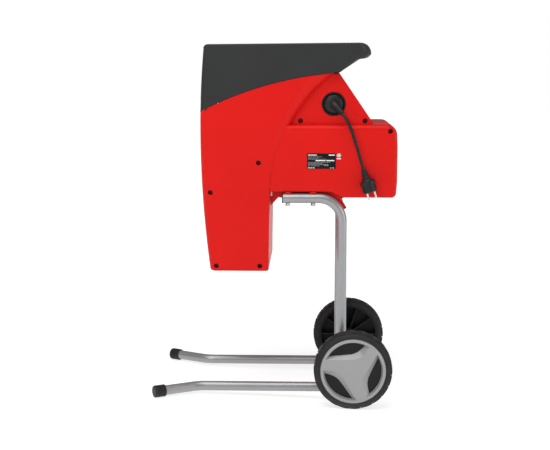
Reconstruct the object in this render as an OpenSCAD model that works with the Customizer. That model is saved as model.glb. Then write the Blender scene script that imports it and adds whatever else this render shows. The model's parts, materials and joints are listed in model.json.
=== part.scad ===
// Garden shredder on a two-wheeled tube frame. Millimetres, +Z up, standing on Z = 0.
// -X is the discharge side, +X the side where the user stands and pulls it by the nose.
// The parts are drawn level, with the axle over x = 0, and place() leans the machine on its feet.

/* [Frame and wheels] */
// Diameter of the wheels over the tyre
wheel_d = 200; // [190:1:204]
// Width of the tyres
tyre_w = 46; // [38:1:48]
// Distance of each wheel's middle plane from the centre plane
wheel_y = 204; // [198:1:210]
// Diameter of the frame tubes
tube_d = 25; // [22:1:26]
// Wall of the frame tubes
tube_wall = 1.5; // [1.2:0.1:2.5]
// Distance of each frame tube from the centre plane
tube_y = 137; // [134:1:140]
// Radius of the tube bends, on the centreline
bend_r = 60; // [50:1:65]
// Diameter of the axle rod
axle_d = 12; // [10:1:14]
// Diameter of the rubber foot caps
foot_d = 31; // [30:1:34]

/* [Housing] */
// Half the width of the chute body
chute_half_w = 150; // [147:1:153]
// Half the width of the motor box
box_half_w = 145; // [143:1:146]
// Half the width of the recessed web above the motor box
web_half_w = 125; // [120:1:128]
// Wall of the plastic housing
wall = 3.2; // [2.8:0.1:4]
// Height of the outlet rim above the ground
outlet_z = 343; // [340:1:350]

/* [Cutter and drive] */
// Diameter of the cutter disc
disc_d = 184; // [176:1:186]
// Height of the cutter shaft
cutter_z = 610; // [608:1:612]
// Distance of the motor shaft above the cutter shaft
belt_centres = 56; // [54:1:57]
// Pitch of the belt teeth
belt_pitch = 5; // [5]
// Teeth on the motor pulley
motor_teeth = 12; // [12]
// Teeth on the cutter pulley
cutter_teeth = 48; // [48]

/* [Cord] */
// Diameter of the rubber power cord
cord_d = 8.5; // [7:0.5:9]

/* [Hidden] */
$fn = 64;
tube_r = tube_d / 2;
wheel_r = wheel_d / 2;
axle_r = axle_d / 2;
post_x = -29;             // the posts stand just ahead of the axle, which is x = 0 here
tube_top_z = 530;
tube_end_x = -180;
leg_z = 35;
splay = 29;
splay_r = 70;
splay_start_x = -382;
tail_run = 104.6;
cap_l = 30;               // the foot caps' length, what they add to the tube, and their rounding
cap_over = 4;
cap_round = 3;
frame_screw_x = [-167.5, -103];
running = 0.08;           // radial running clearance of shafts
box_right_x = 110.5;
// The feet stand higher than the bottom of the wheels, so the whole machine leans this much towards them.
tail_x = splay_start_x - splay_r * sin(splay);
foot_tip_x = tail_x - (tail_run + cap_over) * cos(splay) - (foot_d / 2 - cap_round) * sin(splay);
foot_low = [tail_x - (tail_run + cap_over - cap_round) * cos(splay), leg_z - foot_d / 2 - wheel_r];
lean = asin(wheel_r / norm(foot_low)) - atan(foot_low[1] / foot_low[0]);
origin_shift = -(wheel_r + foot_tip_x * cos(lean) + (wheel_r - leg_z) * sin(lean)) / 2;
motor_z = cutter_z + belt_centres;
hinge = [-387, 751];      // x and z of the hopper hinge
knuckle_r = 4;
hinge_pin_r = 2;
lug_y = [55, 95];         // each shell's hinge lug
belt_w = 15;
belt_t = 3.6;
disc_x = -262;
disc_t = 8;
plate_half_w = 112;       // the bearing plate, between the chute body's side screws

// ---------- helpers ----------
module rod_x(r, x0, x1, y = 0, z = 0) translate([x0, y, z]) rotate([0, 90, 0]) cylinder(r = r, h = x1 - x0);
module rod_y(r, y0, y1, x = 0, z = 0) translate([x, y1, z]) rotate([90, 0, 0]) cylinder(r = r, h = y1 - y0);
module rod_z(r, z0, z1, x = 0, y = 0) translate([x, y, z0]) cylinder(r = r, h = z1 - z0);
module block(lo, hi) translate(lo) cube(hi - lo);
// Extrudes an XZ outline from y0 to y1.
module slab_y(y0, y1) translate([0, y1, 0]) rotate([90, 0, 0]) linear_extrude(y1 - y0) children();
// A profile in radius and Y turned about the Y axis.
module turned_y() rotate([-90, 0, 0]) rotate_extrude() children();
module both() { children(); mirror([0, 1, 0]) children(); }
module right() mirror([0, 1, 0]) children();
function arc(c, r, a0, a1, n = 8) = [for (i = [0:n]) let (a = a0 + (a1 - a0) * i / n) [c[0] + r * cos(a), c[1] + r * sin(a)]];

// ---------- frame ----------
// A straight run of round bar along +X, with what follows on its end.
module run(l, r) {
    rotate([0, 90, 0]) cylinder(r = r, h = l);
    translate([l, 0, 0]) children();
}
// A bend that turns from +X towards +Y, with what follows on its end.
module turn(a, bend, r) {
    translate([0, bend, 0]) rotate([0, 0, -90]) rotate_extrude(angle = a) translate([bend, 0]) circle(r = r);
    translate([bend * sin(a), bend * (1 - cos(a)), 0]) rotate([0, 0, a]) children();
}
// The whole left tube as a solid bar of radius r: top run, post, leg and splayed tail.
module tube_line(r) translate([tube_end_x, -tube_y, tube_top_z]) rotate([-90, 0, 0])
    run(post_x - bend_r - tube_end_x, r) turn(90, bend_r, r) run(tube_top_z - leg_z - 2 * bend_r, r)
    turn(90, bend_r, r) run(post_x - bend_r - splay_start_x, r) rotate([-90, 0, 0]) turn(splay, splay_r, r) run(tail_run, r);
module at_tail() translate([splay_start_x - splay_r * sin(splay), -tube_y - splay_r * (1 - cos(splay)), leg_z])
    rotate([0, 0, 180 + splay]) translate([tail_run, 0, 0]) children();
module side_tube() difference() {
    tube_line(tube_r);
    tube_line(tube_r - tube_wall);
    for (x = frame_screw_x) rod_z(3.2, tube_top_z - 20, tube_top_z + 20, x, -tube_y);
    rod_y(4.2, -tube_y - 20, -tube_y + 20, post_x, strut_z);
}
module left_frame_tube() color("silver") side_tube();
module right_frame_tube() color("silver") right() side_tube();
module foot_cap() at_tail() rotate([0, 90, 0]) translate([0, 0, cap_over - cap_l]) rotate_extrude()
    polygon([[tube_r + 0.05, 0], [foot_d / 2 - 0.6, 0], [foot_d / 2, 1.5], [foot_d / 2, cap_l - cap_round],
        [foot_d / 2 - cap_round, cap_l], [0, cap_l], [0, cap_l - cap_over + 0.05], [tube_r + 0.05, cap_l - cap_over + 0.05]]);
module left_foot_cap() color([0.1, 0.1, 0.1]) foot_cap();
module right_foot_cap() color([0.1, 0.1, 0.1]) right() foot_cap();
module tube_end_plugs() color([0.1, 0.1, 0.1]) both() {
    rod_x(tube_r - tube_wall - 0.05, tube_end_x, tube_end_x + 8, -tube_y, tube_top_z);
    rod_x(tube_r, tube_end_x - 2.5, tube_end_x, -tube_y, tube_top_z);
}
strut_z = 106;
strut_r = 9;
module cross_strut() color("silver") difference() {
    rod_y(strut_r, -tube_y + 8, tube_y - 8, post_x, strut_z);
    rod_y(strut_r - 1.5, -tube_y + 32, tube_y - 32, post_x, strut_z);
    both() {
        rod_z(tube_r + 0.02, strut_z - 40, strut_z + 40, post_x, -tube_y);
        rod_y(4.03, -tube_y, -tube_y + 33, post_x, strut_z);
    }
}
module strut_bolts() color("silver") both() {
    rod_y(4, -tube_y - tube_r - 1.5, -tube_y + 31, post_x, strut_z);
    translate([post_x, -tube_y - tube_r - 0.5, strut_z]) rotate([90, 0, 0]) cylinder(r = 7.5, h = 5.3, $fn = 6);
}
hub_out = 17;
hub_in = 21;
axle_end_y = wheel_y + hub_out + 2;
module axle() color("silver") rod_y(axle_r, -axle_end_y, axle_end_y, 0, wheel_r);
// A steel gusset welded behind the lower bend, with the axle's eye.
module axle_bracket() difference() {
    union() {
        slab_y(-tube_y - 3, -tube_y + 3) polygon([[post_x, 128], [post_x + 16, 128], [6, 108], [6, 92], [post_x - 4, 62], [post_x - 14, 62]]);
        rod_y(11, -tube_y - 9, -tube_y + 9, 0, wheel_r);
    }
    rod_y(axle_r + 0.03, -tube_y - 20, -tube_y + 20, 0, wheel_r);
    tube_line(tube_r + 0.02);
}
module left_axle_bracket() color("silver") axle_bracket();
module right_axle_bracket() color("silver") right() axle_bracket();
module axle_spacers() color([0.1, 0.1, 0.1]) both() difference() {
    rod_y(10, -wheel_y + hub_in + 0.3, -tube_y - 9, 0, wheel_r);
    rod_y(axle_r + 0.05, -wheel_y, -tube_y, 0, wheel_r);
}
cap_y = wheel_y + hub_out + 0.4;
module axle_caps() color("silver") both() difference() {
    rod_y(9, -cap_y - 2.6, -cap_y, 0, wheel_r);
    rod_y(axle_r, -axle_end_y, 0, 0, wheel_r);
}

// ---------- wheels, drawn at the left wheel's place ----------
rim_r = 84;
module at_wheel() translate([0, -wheel_y, wheel_r]) children();
module tyre() at_wheel() turned_y() polygon([[rim_r, -tyre_w / 2], [rim_r + 9, -tyre_w / 2], [wheel_r - 4, -tyre_w / 2 + 3],
    [wheel_r, -tyre_w / 2 + 10], [wheel_r, tyre_w / 2 - 10], [wheel_r - 4, tyre_w / 2 - 3], [rim_r + 9, tyre_w / 2], [rim_r, tyre_w / 2]]);
module rim() at_wheel() difference() {
    union() {
        turned_y() polygon([[rim_r - 6, -tyre_w / 2 + 12], [rim_r - 0.05, -tyre_w / 2 + 12], [rim_r - 0.05, tyre_w / 2 - 1], [rim_r - 6, tyre_w / 2 - 1]]);
        rod_y(rim_r - 5, -tyre_w / 2 + 12, -tyre_w / 2 + 16);
        rod_y(17, -hub_out, hub_in);
        for (a = [0:36:359]) rotate([0, a, 0]) block([15, -tyre_w / 2 + 14, -1.6], [rim_r - 4, tyre_w / 2 - 4, 1.6]);
    }
    rod_y(axle_r + running, -40, 40);
}
// The tri-spoke cover: a ring with three wide windows, seated on the rim's outer face.
window_r = 72;
// Each window is straight towards one spoke and sweeps up along the other.
module cover_windows(grow) for (k = [0:2]) rotate(k * 120) polygon(concat(arc([0, 0], window_r + grow, 60 - grow / 2, 151 + grow, 18),
    [[4, 34 - grow], [16, 36 - grow], [26 + grow / 2, 43 - grow]]));
cover_in = -tyre_w / 2 + 11.8;
module hub_cover() at_wheel() difference() {
    translate([0, cover_in, 0]) rotate([90, 0, 0]) linear_extrude(12) circle(r = rim_r - 0.2);
    translate([0, cover_in + 1, 0]) rotate([90, 0, 0]) linear_extrude(14) cover_windows(0);
    translate([0, cover_in - 6, 0]) rotate([90, 0, 0]) linear_extrude(10) cover_windows(3);
    rod_y(17.4, -hub_out - 0.3, 40);
    rod_y(10, -hub_out - 3.4, 0);
}
module left_tyre() color([0.12, 0.12, 0.12]) tyre();
module right_tyre() color([0.12, 0.12, 0.12]) right() tyre();
module left_rim() color([0.15, 0.15, 0.15]) rim();
module right_rim() color([0.15, 0.15, 0.15]) right() rim();
module left_hub_cover() color("silver") hub_cover();
module right_hub_cover() color("silver") right() hub_cover();

// ---------- housing outlines in XZ; d insets them ----------
function front_x(z) = -390.5 + (z - 700) * (z - 700) / (z < 700 ? 5400 : 4500);
seam_c = [20.5, -44];
seam_r = 894;
function seam_z(x) = seam_c[1] + sqrt(seam_r * seam_r - (x - seam_c[0]) * (x - seam_c[0]));
crease_c = [200.7, 521];
crease_r = 412;
panel_top = [-38, 847.5];
panel_foot = [54, 714];
panel_dir = (panel_foot - panel_top) / norm(panel_foot - panel_top);
panel_n = [-panel_dir[1], panel_dir[0]];
function on_panel(s, d = 0) = panel_top + panel_dir * s + panel_n * d;
module chute_outline(d = 0, open = 0) polygon(concat(
    [for (i = [0:14]) let (z = outlet_z - open + (seam_z(front_x(750) + d) + open - outlet_z + open) * i / 14) [front_x(z) + d, z]],
    [for (i = [1:12]) let (x = front_x(750) + (panel_top[0] - 22 - front_x(750)) * i / 12) [x, seam_z(x) + open]],
    arc(crease_c, crease_r + d, 128, 176.4, 14),
    [[-211.5 - d, 545], [-214.8 - d, 485], [-216.5 - d, outlet_z - open]]));
module box_outline(d = 0) polygon(concat([[-232, 547 + d], [-62, 547 + d], [-45, 541 + d], [-26, 532.5 + d]],
    arc([96, 545], 12.5 - d, -90, -8, 5), [[box_right_x - d, 629]], arc([82, 692], 27 - d, 3, 90, 8), [[-232, 719 - d]]));
module web_outline(d = 0, open = 0) polygon(concat([[-228, 690], on_panel(178, -d), on_panel(-open, -d)],
    [for (i = [0:8]) let (x = panel_top[0] - 2 - (190 - 2) * i / 8) [x, seam_z(x) + open]]));
shell_screws_at = [[-136, 727, web_half_w, 0], [28, 727, web_half_w, 0], [91, 702, box_half_w, 0],
    [-242, 621.5, chute_half_w, plate_half_w], [-365, 545.5, chute_half_w, 0], [-351, 356, chute_half_w, 0], [-239, 356, chute_half_w, 0]];
gland_at = [-52, 769.5];
knob_at = [-62, 815];
module shell_half() {
    difference() {
        union() {
            difference() {
                union() {
                    slab_y(-chute_half_w, 0) chute_outline();
                    slab_y(-box_half_w, 0) box_outline();
                    slab_y(-web_half_w, 0) web_outline();
                }
                slab_y(-chute_half_w + wall, 1) chute_outline(wall, 5);
                slab_y(-box_half_w + wall, 1) box_outline(wall);
                slab_y(-web_half_w + wall, 1) web_outline(wall, 5);
            }
            for (s = shell_screws_at) rod_y(8.4, -s[2] + 0.5, -s[3], s[0], s[1]);
        }
        // room for the hopper's knuckles
        rod_y(knuckle_r + 0.4, -chute_half_w - 1, 1, hinge[0], hinge[1]);
        // cooling slots in the end of the motor box
        for (i = [0:7]) block([box_right_x - 12, -92, 570 + i * 15], [box_right_x + 5, 1, 576 + i * 15]);
        for (x = frame_screw_x) rod_z(3.2, 540, 560, x, -tube_y);
        panel_window(27, 38, 84);
        panel_rod(7.3, 136);
    }
    difference() {
        union() {
            rod_y(knuckle_r, -lug_y[1], -lug_y[0], hinge[0], hinge[1]);
            block([hinge[0] - 3, -lug_y[1], 742], [hinge[0] + 1, -lug_y[0], hinge[1]]);
        }
        rod_y(hinge_pin_r, -200, 200, hinge[0], hinge[1]);
    }
}
// Stands a child that is drawn along +Z on the sloping panel, at a distance s down it.
module at_panel(s) translate([on_panel(s)[0], 0, on_panel(s)[1]]) rotate([0, 90 - atan2(panel_n[1], panel_n[0]), 0]) children();
module panel_window(half_l, half_w, s) at_panel(s) translate([-half_l, -half_w, -12]) cube([2 * half_l, 2 * half_w, 24]);
module panel_rod(r, s) at_panel(s) translate([0, 0, -12]) cylinder(r = r, h = 24);
module left_shell() color([0.85, 0.12, 0.09]) difference() {
    shell_half();
    for (s = shell_screws_at) {
        rod_y(6.2, -s[2] - 1, -s[2] + 24, s[0], s[1]);
        rod_y(2.5, -s[2], 1, s[0], s[1]);
    }
    rod_y(30.3, -web_half_w - 1, -web_half_w + 12, gland_at[0], gland_at[1]);
}
module right_shell() color([0.85, 0.12, 0.09]) right() difference() {
    shell_half();
    for (s = shell_screws_at) rod_y(2.3, -s[2] + 20, 1, s[0], s[1]);
    rod_y(5.5, -web_half_w - 1, -web_half_w + 12, knob_at[0], knob_at[1]);
}
module shell_screws() color([0.3, 0.3, 0.3]) for (s = shell_screws_at) {
    rod_y(4.6, -s[2] + 20.5, -s[2] + 24, s[0], s[1]);
    rod_y(2.2, -s[2] + 24, -s[3] + (s[3] > 0 ? 8 : 14), s[0], s[1]);
}
// Ribs under the motor box that cradle the frame tubes, and the gussets in the corner behind the chute.
saddle_y = [tube_y - tube_r - 14, tube_y - tube_r - 1];
module tube_saddles() color([0.5, 0.05, 0.05]) both() difference() {
    union() {
        slab_y(-saddle_y[1], -saddle_y[0]) polygon(concat([[-208, 546.9], [-208, 533]],
            [[-184, 530], [-91, 530]], arc([post_x - bend_r, tube_top_z - bend_r], 60, 88, 25, 8), arc([post_x - bend_r, tube_top_z - bend_r], 79.5, 25, 73, 8),
            [[-62, 546.9]]));
        slab_y(-saddle_y[1], -saddle_y[0]) polygon([[-212.35, 533], [-212.35, 509], [-190, 533]]);
        for (x = frame_screw_x) rod_z(9, tube_top_z + tube_r + 0.2, 546.9, x, -tube_y + 1);
    }
    for (x = frame_screw_x) rod_z(3.4, 500, 560, x, -tube_y);
}
module frame_screws() color("silver") both() for (x = frame_screw_x) {
    rod_z(3, tube_top_z - tube_r - 8, 550.5, x, -tube_y);
    rod_z(4.6, 550.3, 553.5, x, -tube_y);
}
module frame_nuts() color("silver") both() for (x = frame_screw_x) difference() {
    union() {
        rod_z(6.5, tube_top_z - tube_r - 6.2, tube_top_z - tube_r - 5, x, -tube_y);
        translate([x, -tube_y, tube_top_z - tube_r - 5]) cylinder(r = 5.7, h = 5, $fn = 6);
    }
    rod_z(3.03, 480, 560, x, -tube_y);
}
module rating_plate() color([0.05, 0.05, 0.05]) block([-119, -box_half_w - 0.6, 606.5], [-46, -box_half_w, 645.5]);

// ---------- hopper ----------
nose = [15.5, 897];
nose_r = 26;
module hopper_outline(d = 0, open = 0) polygon(concat(
    [for (i = [0:10]) let (z = hinge[1] - open + (909 - hinge[1] + open) * i / 10) [front_x(z) + d, z]],
    arc([-369.6, 907.5], 12 - d, 176, 92, 5),
    arc(nose, nose_r - d, 92, -8, 10),
    [[32 - d, 886 + d * 0.6], [13 - d * 0.3, 882 + d], panel_top + [0.4 - d * 0.7, 1 + d]],
    [for (i = [0:16]) let (x = panel_top[0] - (panel_top[0] - hinge[0] - 2 * d) * i / 16) [x, seam_z(x) + 0.4 - open]]));
// The hopper's outline seen from above: small radii in front, large ones at the nose.
module hopper_plan(d = 0) let (w = chute_half_w - d, f = -391, n = nose[0] + nose_r) polygon(concat(
    arc([f + 14, -w + 14], 14, 270, 180, 5), arc([f + 14, w - 14], 14, 180, 90, 5),
    arc([n - d - 33, w - 33], 33, 90, 0, 8), arc([n - d - 33, -w + 33], 33, 0, -90, 8)));
mouth = [[-370, -132], [-22, 132]];
module hopper() color([0.2, 0.2, 0.2]) difference() {
    union() {
        difference() {
            intersection() {
                slab_y(-chute_half_w, chute_half_w) hopper_outline();
                translate([0, 0, 700]) linear_extrude(240) hopper_plan();
            }
            intersection() {
                slab_y(-chute_half_w + wall, chute_half_w - wall) hopper_outline(wall, 8);
                translate([0, 0, 690]) linear_extrude(250) hopper_plan(wall);
            }
            block([mouth[0][0], mouth[0][1], 880], [mouth[1][0], mouth[1][1], 940]);
        }
        rod_y(knuckle_r, -135, 135, hinge[0], hinge[1]);
    }
    both() rod_y(knuckle_r + 0.6, -lug_y[1] - 0.5, -lug_y[0] + 0.5, hinge[0], hinge[1]);
    rod_y(hinge_pin_r + 0.06, -200, 200, hinge[0], hinge[1]);
}
throat = [[-344, -78], [-270, 78]];
throat_z = 744;
module funnel_form(grow, z0, z1) hull() {
    translate([mouth[0][0] - grow, mouth[0][1] - grow, z1]) cube([mouth[1][0] - mouth[0][0] + 2 * grow, mouth[1][1] - mouth[0][1] + 2 * grow, 0.1]);
    translate([throat[0][0] - grow, throat[0][1] - grow, z0]) cube([throat[1][0] - throat[0][0] + 2 * grow, throat[1][1] - throat[0][1] + 2 * grow, 0.1]);
}
module feed_funnel() color([0.17, 0.17, 0.17]) difference() {
    funnel_form(-0.05, throat_z, 917);
    funnel_form(-2.65, throat_z - 0.2, 917.2);
}
module hinge_pin() color("silver") rod_y(hinge_pin_r - 0.01, -134, 134, hinge[0], hinge[1]);
// The tongue hangs from the hopper inside the right shell; its open slot drops over the stud.
tongue_y = web_half_w - 12;
tongue_t = 3;
slot_lean = atan((knob_at[1] - hinge[1]) / (knob_at[0] - hinge[0]));
module lock_tongue() color("silver") {
    difference() {
        block([knob_at[0] - 16, tongue_y, knob_at[1] - 20], [knob_at[0] + 14, tongue_y + tongue_t, 862]);
        rod_y(5.4, 0, 200, knob_at[0], knob_at[1]);
        translate([knob_at[0], 0, knob_at[1]]) rotate([0, -slot_lean, 0]) block([-5.4, 0, -60], [5.4, 200, 0]);
    }
    block([knob_at[0] - 16, tongue_y + tongue_t, 859], [knob_at[0] + 14, chute_half_w - wall - 0.05, 862]);
}
module lock_stud() color("silver") {
    rod_y(4.6, web_half_w - 22, web_half_w + 4, knob_at[0], knob_at[1]);
    rod_y(8.5, web_half_w - 17, tongue_y - 0.6, knob_at[0], knob_at[1]);
}
module lock_knob() color([0.12, 0.12, 0.12]) difference() {
    translate([knob_at[0], web_half_w + 0.5, knob_at[1]]) rotate([-90, 0, 0]) union() {
        cylinder(r = 11, h = 20);
        translate([0, 0, 6]) for (a = [0:72:359]) rotate(a) translate([10, 0, 0]) cylinder(r = 5.5, h = 13);
    }
    rod_y(4.6, 0, web_half_w + 4, knob_at[0], knob_at[1]);
}
module interlock_switch() color([0.1, 0.1, 0.1]) {
    block([-110, tongue_y - 6, 776], [-82, tongue_y + 7, 806]);
    block([-101, tongue_y + 7, 784], [-91, web_half_w - wall - 0.05, 800]);
}

// ---------- switch on the sloping panel ----------
// The plate lies sunk in the panel's window, so that nothing stands out of the panel.
panel_sink = 3;
button_y = 15;
module switch_plate() color([0.13, 0.13, 0.13]) at_panel(84) difference() {
    union() {
        translate([-26.5, -37.5, -panel_sink - 3.5]) cube([53, 75, 3.5]);
        translate([-20.5, -30.5, -30]) cube([41, 61, 26]);
    }
    for (y = [-button_y, button_y]) translate([-13, y - 11.5, -18]) cube([26, 23, 30]);
}
module panel_button(y) at_panel(84) translate([-12.5, y - 11, -13]) cube([25, 22, 13.5]);
module start_button() color([0.1, 0.5, 0.15]) panel_button(-button_y);
module stop_button() color([0.8, 0.1, 0.1]) panel_button(button_y);
module reset_button() color([0.15, 0.15, 0.15]) at_panel(136) translate([0, 0, -7]) cylinder(r = 6.5, h = 8);

// ---------- cutter ----------
// The fixed deck under the hopper, with the feed channel that leads down to the face of the disc.
channel = [[-350, 741], [-266, 741], [-266, 706], [-269.5, 703], [-269.5, 568], [-286, 568], [-340, 604]];
channel_half_w = 84;
module throat_liner() color([0.2, 0.2, 0.2]) difference() {
    union() {
        slab_y(-channel_half_w, channel_half_w) polygon(channel);
        slab_y(-chute_half_w + wall + 0.3, chute_half_w - wall - 0.3)
            polygon([[-385.5, 737], [-245, 737], [-98, 812], [-98, 815.4], [-245.7, 740], [-385.5, 740]]);
        slab_y(-web_half_w + wall + 0.3, web_half_w - wall - 0.3) polygon([[-98, 812], [-46, 838.5], [-46, 842], [-98, 815.4]]);
    }
    slab_y(-channel_half_w + 3, channel_half_w - 3)
        polygon([[-347, 745], [-269, 745], [-269, 705], [-255, 705], [-255, 572.5], [-284, 572.5], [-337, 606]]);
    block([knob_at[0] - 20, tongue_y - 4, 800], [knob_at[0] + 18, 160, 870]);
    for (y = [-1, 1]) block([-141, min(y * 112, y * 160), 786], [-97, max(y * 112, y * 160), 830]);
}
module counter_knife() color([0.6, 0.6, 0.62]) block([-283, -60, 572.6], [-269.3, 60, 576.6]);
module at_disc() translate([disc_x, 0, cutter_z]) rotate([0, 90, 0]) children();
knife_at = 52;
knife_hole_r = 3.1;
module knife_place() for (a = [0, 180]) rotate(a) translate([knife_at, 0, 0]) children();
module cutter_disc() color([0.5, 0.5, 0.52]) at_disc() difference() {
    cylinder(r = disc_d / 2, h = disc_t);
    translate([0, 0, -1]) cylinder(r = 6.02, h = 20);
    knife_place() {
        translate([-28, 12, -1]) cube([56, 12, 20]);
        for (x = [-18, 18]) translate([x, -8, -1]) cylinder(r = knife_hole_r, h = 20);
    }
}
module knives() color([0.75, 0.75, 0.77]) at_disc() knife_place() difference() {
    translate([-32, 0, -5]) rotate([90, 0, 90]) linear_extrude(64) polygon([[-24, 0], [-24, 5], [10, 5], [15.5, 0]]);
    for (x = [-18, 18]) translate([x, -8, 0]) {
        translate([0, 0, -6]) cylinder(r = knife_hole_r, h = 12);
        translate([0, 0, -6]) cylinder(r = 5.7, h = 4.2);
    }
}
module knife_screws() color([0.3, 0.3, 0.32]) at_disc() knife_place() for (x = [-18, 18]) translate([x, -8, 0]) {
    translate([0, 0, -4.8]) cylinder(r = 5.6, h = 3);
    translate([0, 0, -2]) cylinder(r = knife_hole_r - 0.05, h = disc_t + 2);
}
module disc_bolt() color([0.4, 0.4, 0.42]) at_disc() {
    translate([0, 0, -2.5]) cylinder(r = 15, h = 2.5);
    translate([0, 0, -10]) cylinder(r = 9.5, h = 7.5, $fn = 6);
}
shaft_r = 8.5;
plate_x = -245;
module cutter_shaft() color("silver") {
    rod_x(5.97, disc_x, disc_x + disc_t, 0, cutter_z);
    rod_x(14, disc_x + disc_t, disc_x + disc_t + 3, 0, cutter_z);
    rod_x(shaft_r, disc_x + disc_t + 3, -160, 0, cutter_z);
}
bearing_x = [-238, -204];
module bearing_plate() color([0.6, 0.6, 0.6]) difference() {
    union() {
        block([plate_x, -plate_half_w + 0.1, 551], [plate_x + 6, plate_half_w - 0.1, 728]);
        rod_x(27, plate_x, -190, 0, cutter_z);
    }
    rod_x(20.02, bearing_x[0], -180, 0, cutter_z);
    rod_x(14.5, -260, -180, 0, cutter_z);
    both() rod_y(2.22, -plate_half_w - 1, -plate_half_w + 12, plate_x + 3, 621.5);
}
module shaft_bearings() color("silver") for (x = bearing_x) difference() {
    rod_x(20, x, x + 12, 0, cutter_z);
    rod_x(shaft_r + running, x - 1, x + 13, 0, cutter_z);
}
function pitch_r(teeth) = teeth * belt_pitch / (2 * PI);
pulley_x = -186;
module pulley(teeth, bore, z) difference() {
    union() {
        rod_x(pitch_r(teeth) - 0.9, pulley_x, pulley_x + belt_w + 3, 0, z);
        for (x = [pulley_x, pulley_x + belt_w + 2]) rod_x(pitch_r(teeth) + 2.6, x, x + 1, 0, z);
    }
    rod_x(bore, pulley_x - 1, pulley_x + belt_w + 6, 0, z);
}
module cutter_pulley() color([0.35, 0.35, 0.37]) pulley(cutter_teeth, shaft_r, cutter_z);
motor_shaft_r = 4;
module motor_pulley() color([0.5, 0.5, 0.52]) pulley(motor_teeth, motor_shaft_r, motor_z);
// An open belt round two pulleys, one above the other, as an outline in Y and height.
function belt_line(r0, r1, c) = let (a = asin((r0 - r1) / c))
    concat(arc([0, 0], r0, 180 - a, 360 + a, 32), arc([0, c], r1, a, 180 - a, 16));
module drive_belt() color([0.08, 0.08, 0.08]) translate([pulley_x + 1.5, 0, cutter_z]) rotate([90, 0, 90]) linear_extrude(belt_w) difference() {
    polygon(belt_line(pitch_r(cutter_teeth) - 0.6 + belt_t, pitch_r(motor_teeth) - 0.6 + belt_t, belt_centres));
    polygon(belt_line(pitch_r(cutter_teeth) - 0.6, pitch_r(motor_teeth) - 0.6, belt_centres));
}

// ---------- motor ----------
can_r = 45;
can_x = [-142, -52];
module motor_plate() color([0.6, 0.6, 0.6]) difference() {
    block([-156, -box_half_w + wall + 0.3, 550.6], [-150, box_half_w - wall - 0.3, 712]);
    rod_x(16, -160, -140, 0, motor_z);
    rod_x(12, -160, -140, 0, cutter_z);
}
module motor_housing() color([0.25, 0.25, 0.25]) {
    difference() {
        rod_x(can_r, -149.9, can_x[1], 0, motor_z);
        rod_x(can_r - 3, can_x[0], can_x[1] + 1, 0, motor_z);
        rod_x(motor_shaft_r + running, -160, -140, 0, motor_z);
    }
    difference() {
        union() {
            rod_x(can_r, can_x[1], can_x[1] + 4, 0, motor_z);
            rod_x(26, can_x[1] + 4, -10, 0, motor_z);
        }
        rod_x(22, can_x[1] - 1, -14, 0, motor_z);
        rod_x(motor_shaft_r + running, -20, 0, 0, motor_z);
        block([-45, -30, motor_z - 6], [-33, 30, motor_z + 6]);
    }
}
module stator_core() color([0.45, 0.35, 0.25]) difference() {
    rod_x(can_r - 3.1, -136, -66, 0, motor_z);
    rod_x(25, -137, -65, 0, motor_z);
}
module armature() color([0.6, 0.4, 0.25]) {
    rod_x(motor_shaft_r, pulley_x - 1, 22, 0, motor_z);
    rod_x(24, -133, -69, 0, motor_z);
    rod_x(14, -50, -28, 0, motor_z);
}
module brush_holders() color([0.7, 0.6, 0.2]) for (s = [-1, 1])
    block([-44, min(s * 14.5, s * 32), motor_z - 5], [-34, max(s * 14.5, s * 32), motor_z + 5]);
module cooling_fan() color([0.3, 0.3, 0.3]) difference() {
    union() {
        rod_x(38, -4, -1, 0, motor_z);
        rod_x(9, -4, 14, 0, motor_z);
        for (a = [0:30:359]) translate([0, 0, motor_z]) rotate([a, 0, 0]) block([-2, -1, 12], [12, 1, 38]);
    }
    rod_x(motor_shaft_r, -10, 20, 0, motor_z);
}

// ---------- cord ----------
module cable_gland() color([0.08, 0.08, 0.08]) difference() {
    rod_y(30, -web_half_w - 0.5, -web_half_w + 14, gland_at[0], gland_at[1]);
    rod_y(27, -web_half_w - 2, -web_half_w + 9, gland_at[0], gland_at[1]);
    rod_y(5.5, -web_half_w - 2, -web_half_w + 20, gland_at[0], gland_at[1]);
}
boot_from = [-52, -128, 769.5];
boot_to = [-30, -147, 746];
// Stands a child that is drawn along +Z on the line from a to b.
module aim(a, b) let (v = b - a) translate(a) rotate([0, acos(v[2] / norm(v)), atan2(v[1], v[0])]) children();
module gland_boot() color([0.07, 0.07, 0.07]) {
    translate([gland_at[0], -web_half_w + 8.9, gland_at[1]]) rotate([90, 0, 0]) rotate_extrude()
        polygon([[0, 0], [26.5, 0], [26.5, 4], [24, 8], [17, 10.5], [0, 12]]);
    aim(boot_from, boot_to) cylinder(r1 = 11, r2 = 6, h = norm(boot_to - boot_from), $fn = 32);
}
// Centreline of the cord, from the boot down the side of the motor box to the plug.
cord_route = [[-30, -147, 746], [-25, -151.5, 740.5], [-19.8, -155.5, 732], [-15, -158.6, 722.5], [-10.6, -161, 712.5],
    [-6.5, -162.9, 702], [-2.7, -164.3, 691], [0.9, -165.2, 680], [4.4, -165.8, 669], [7.8, -166.2, 658],
    [11.2, -166.4, 647], [14.5, -166.5, 636], [17.8, -166.5, 625], [21, -166.5, 614], [22.8, -166.5, 608]];
function unit(v) = v / norm(v);
function route_dir(p, i) = unit(p[min(i + 1, len(p) - 1)] - p[max(i - 1, 0)]);
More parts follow.
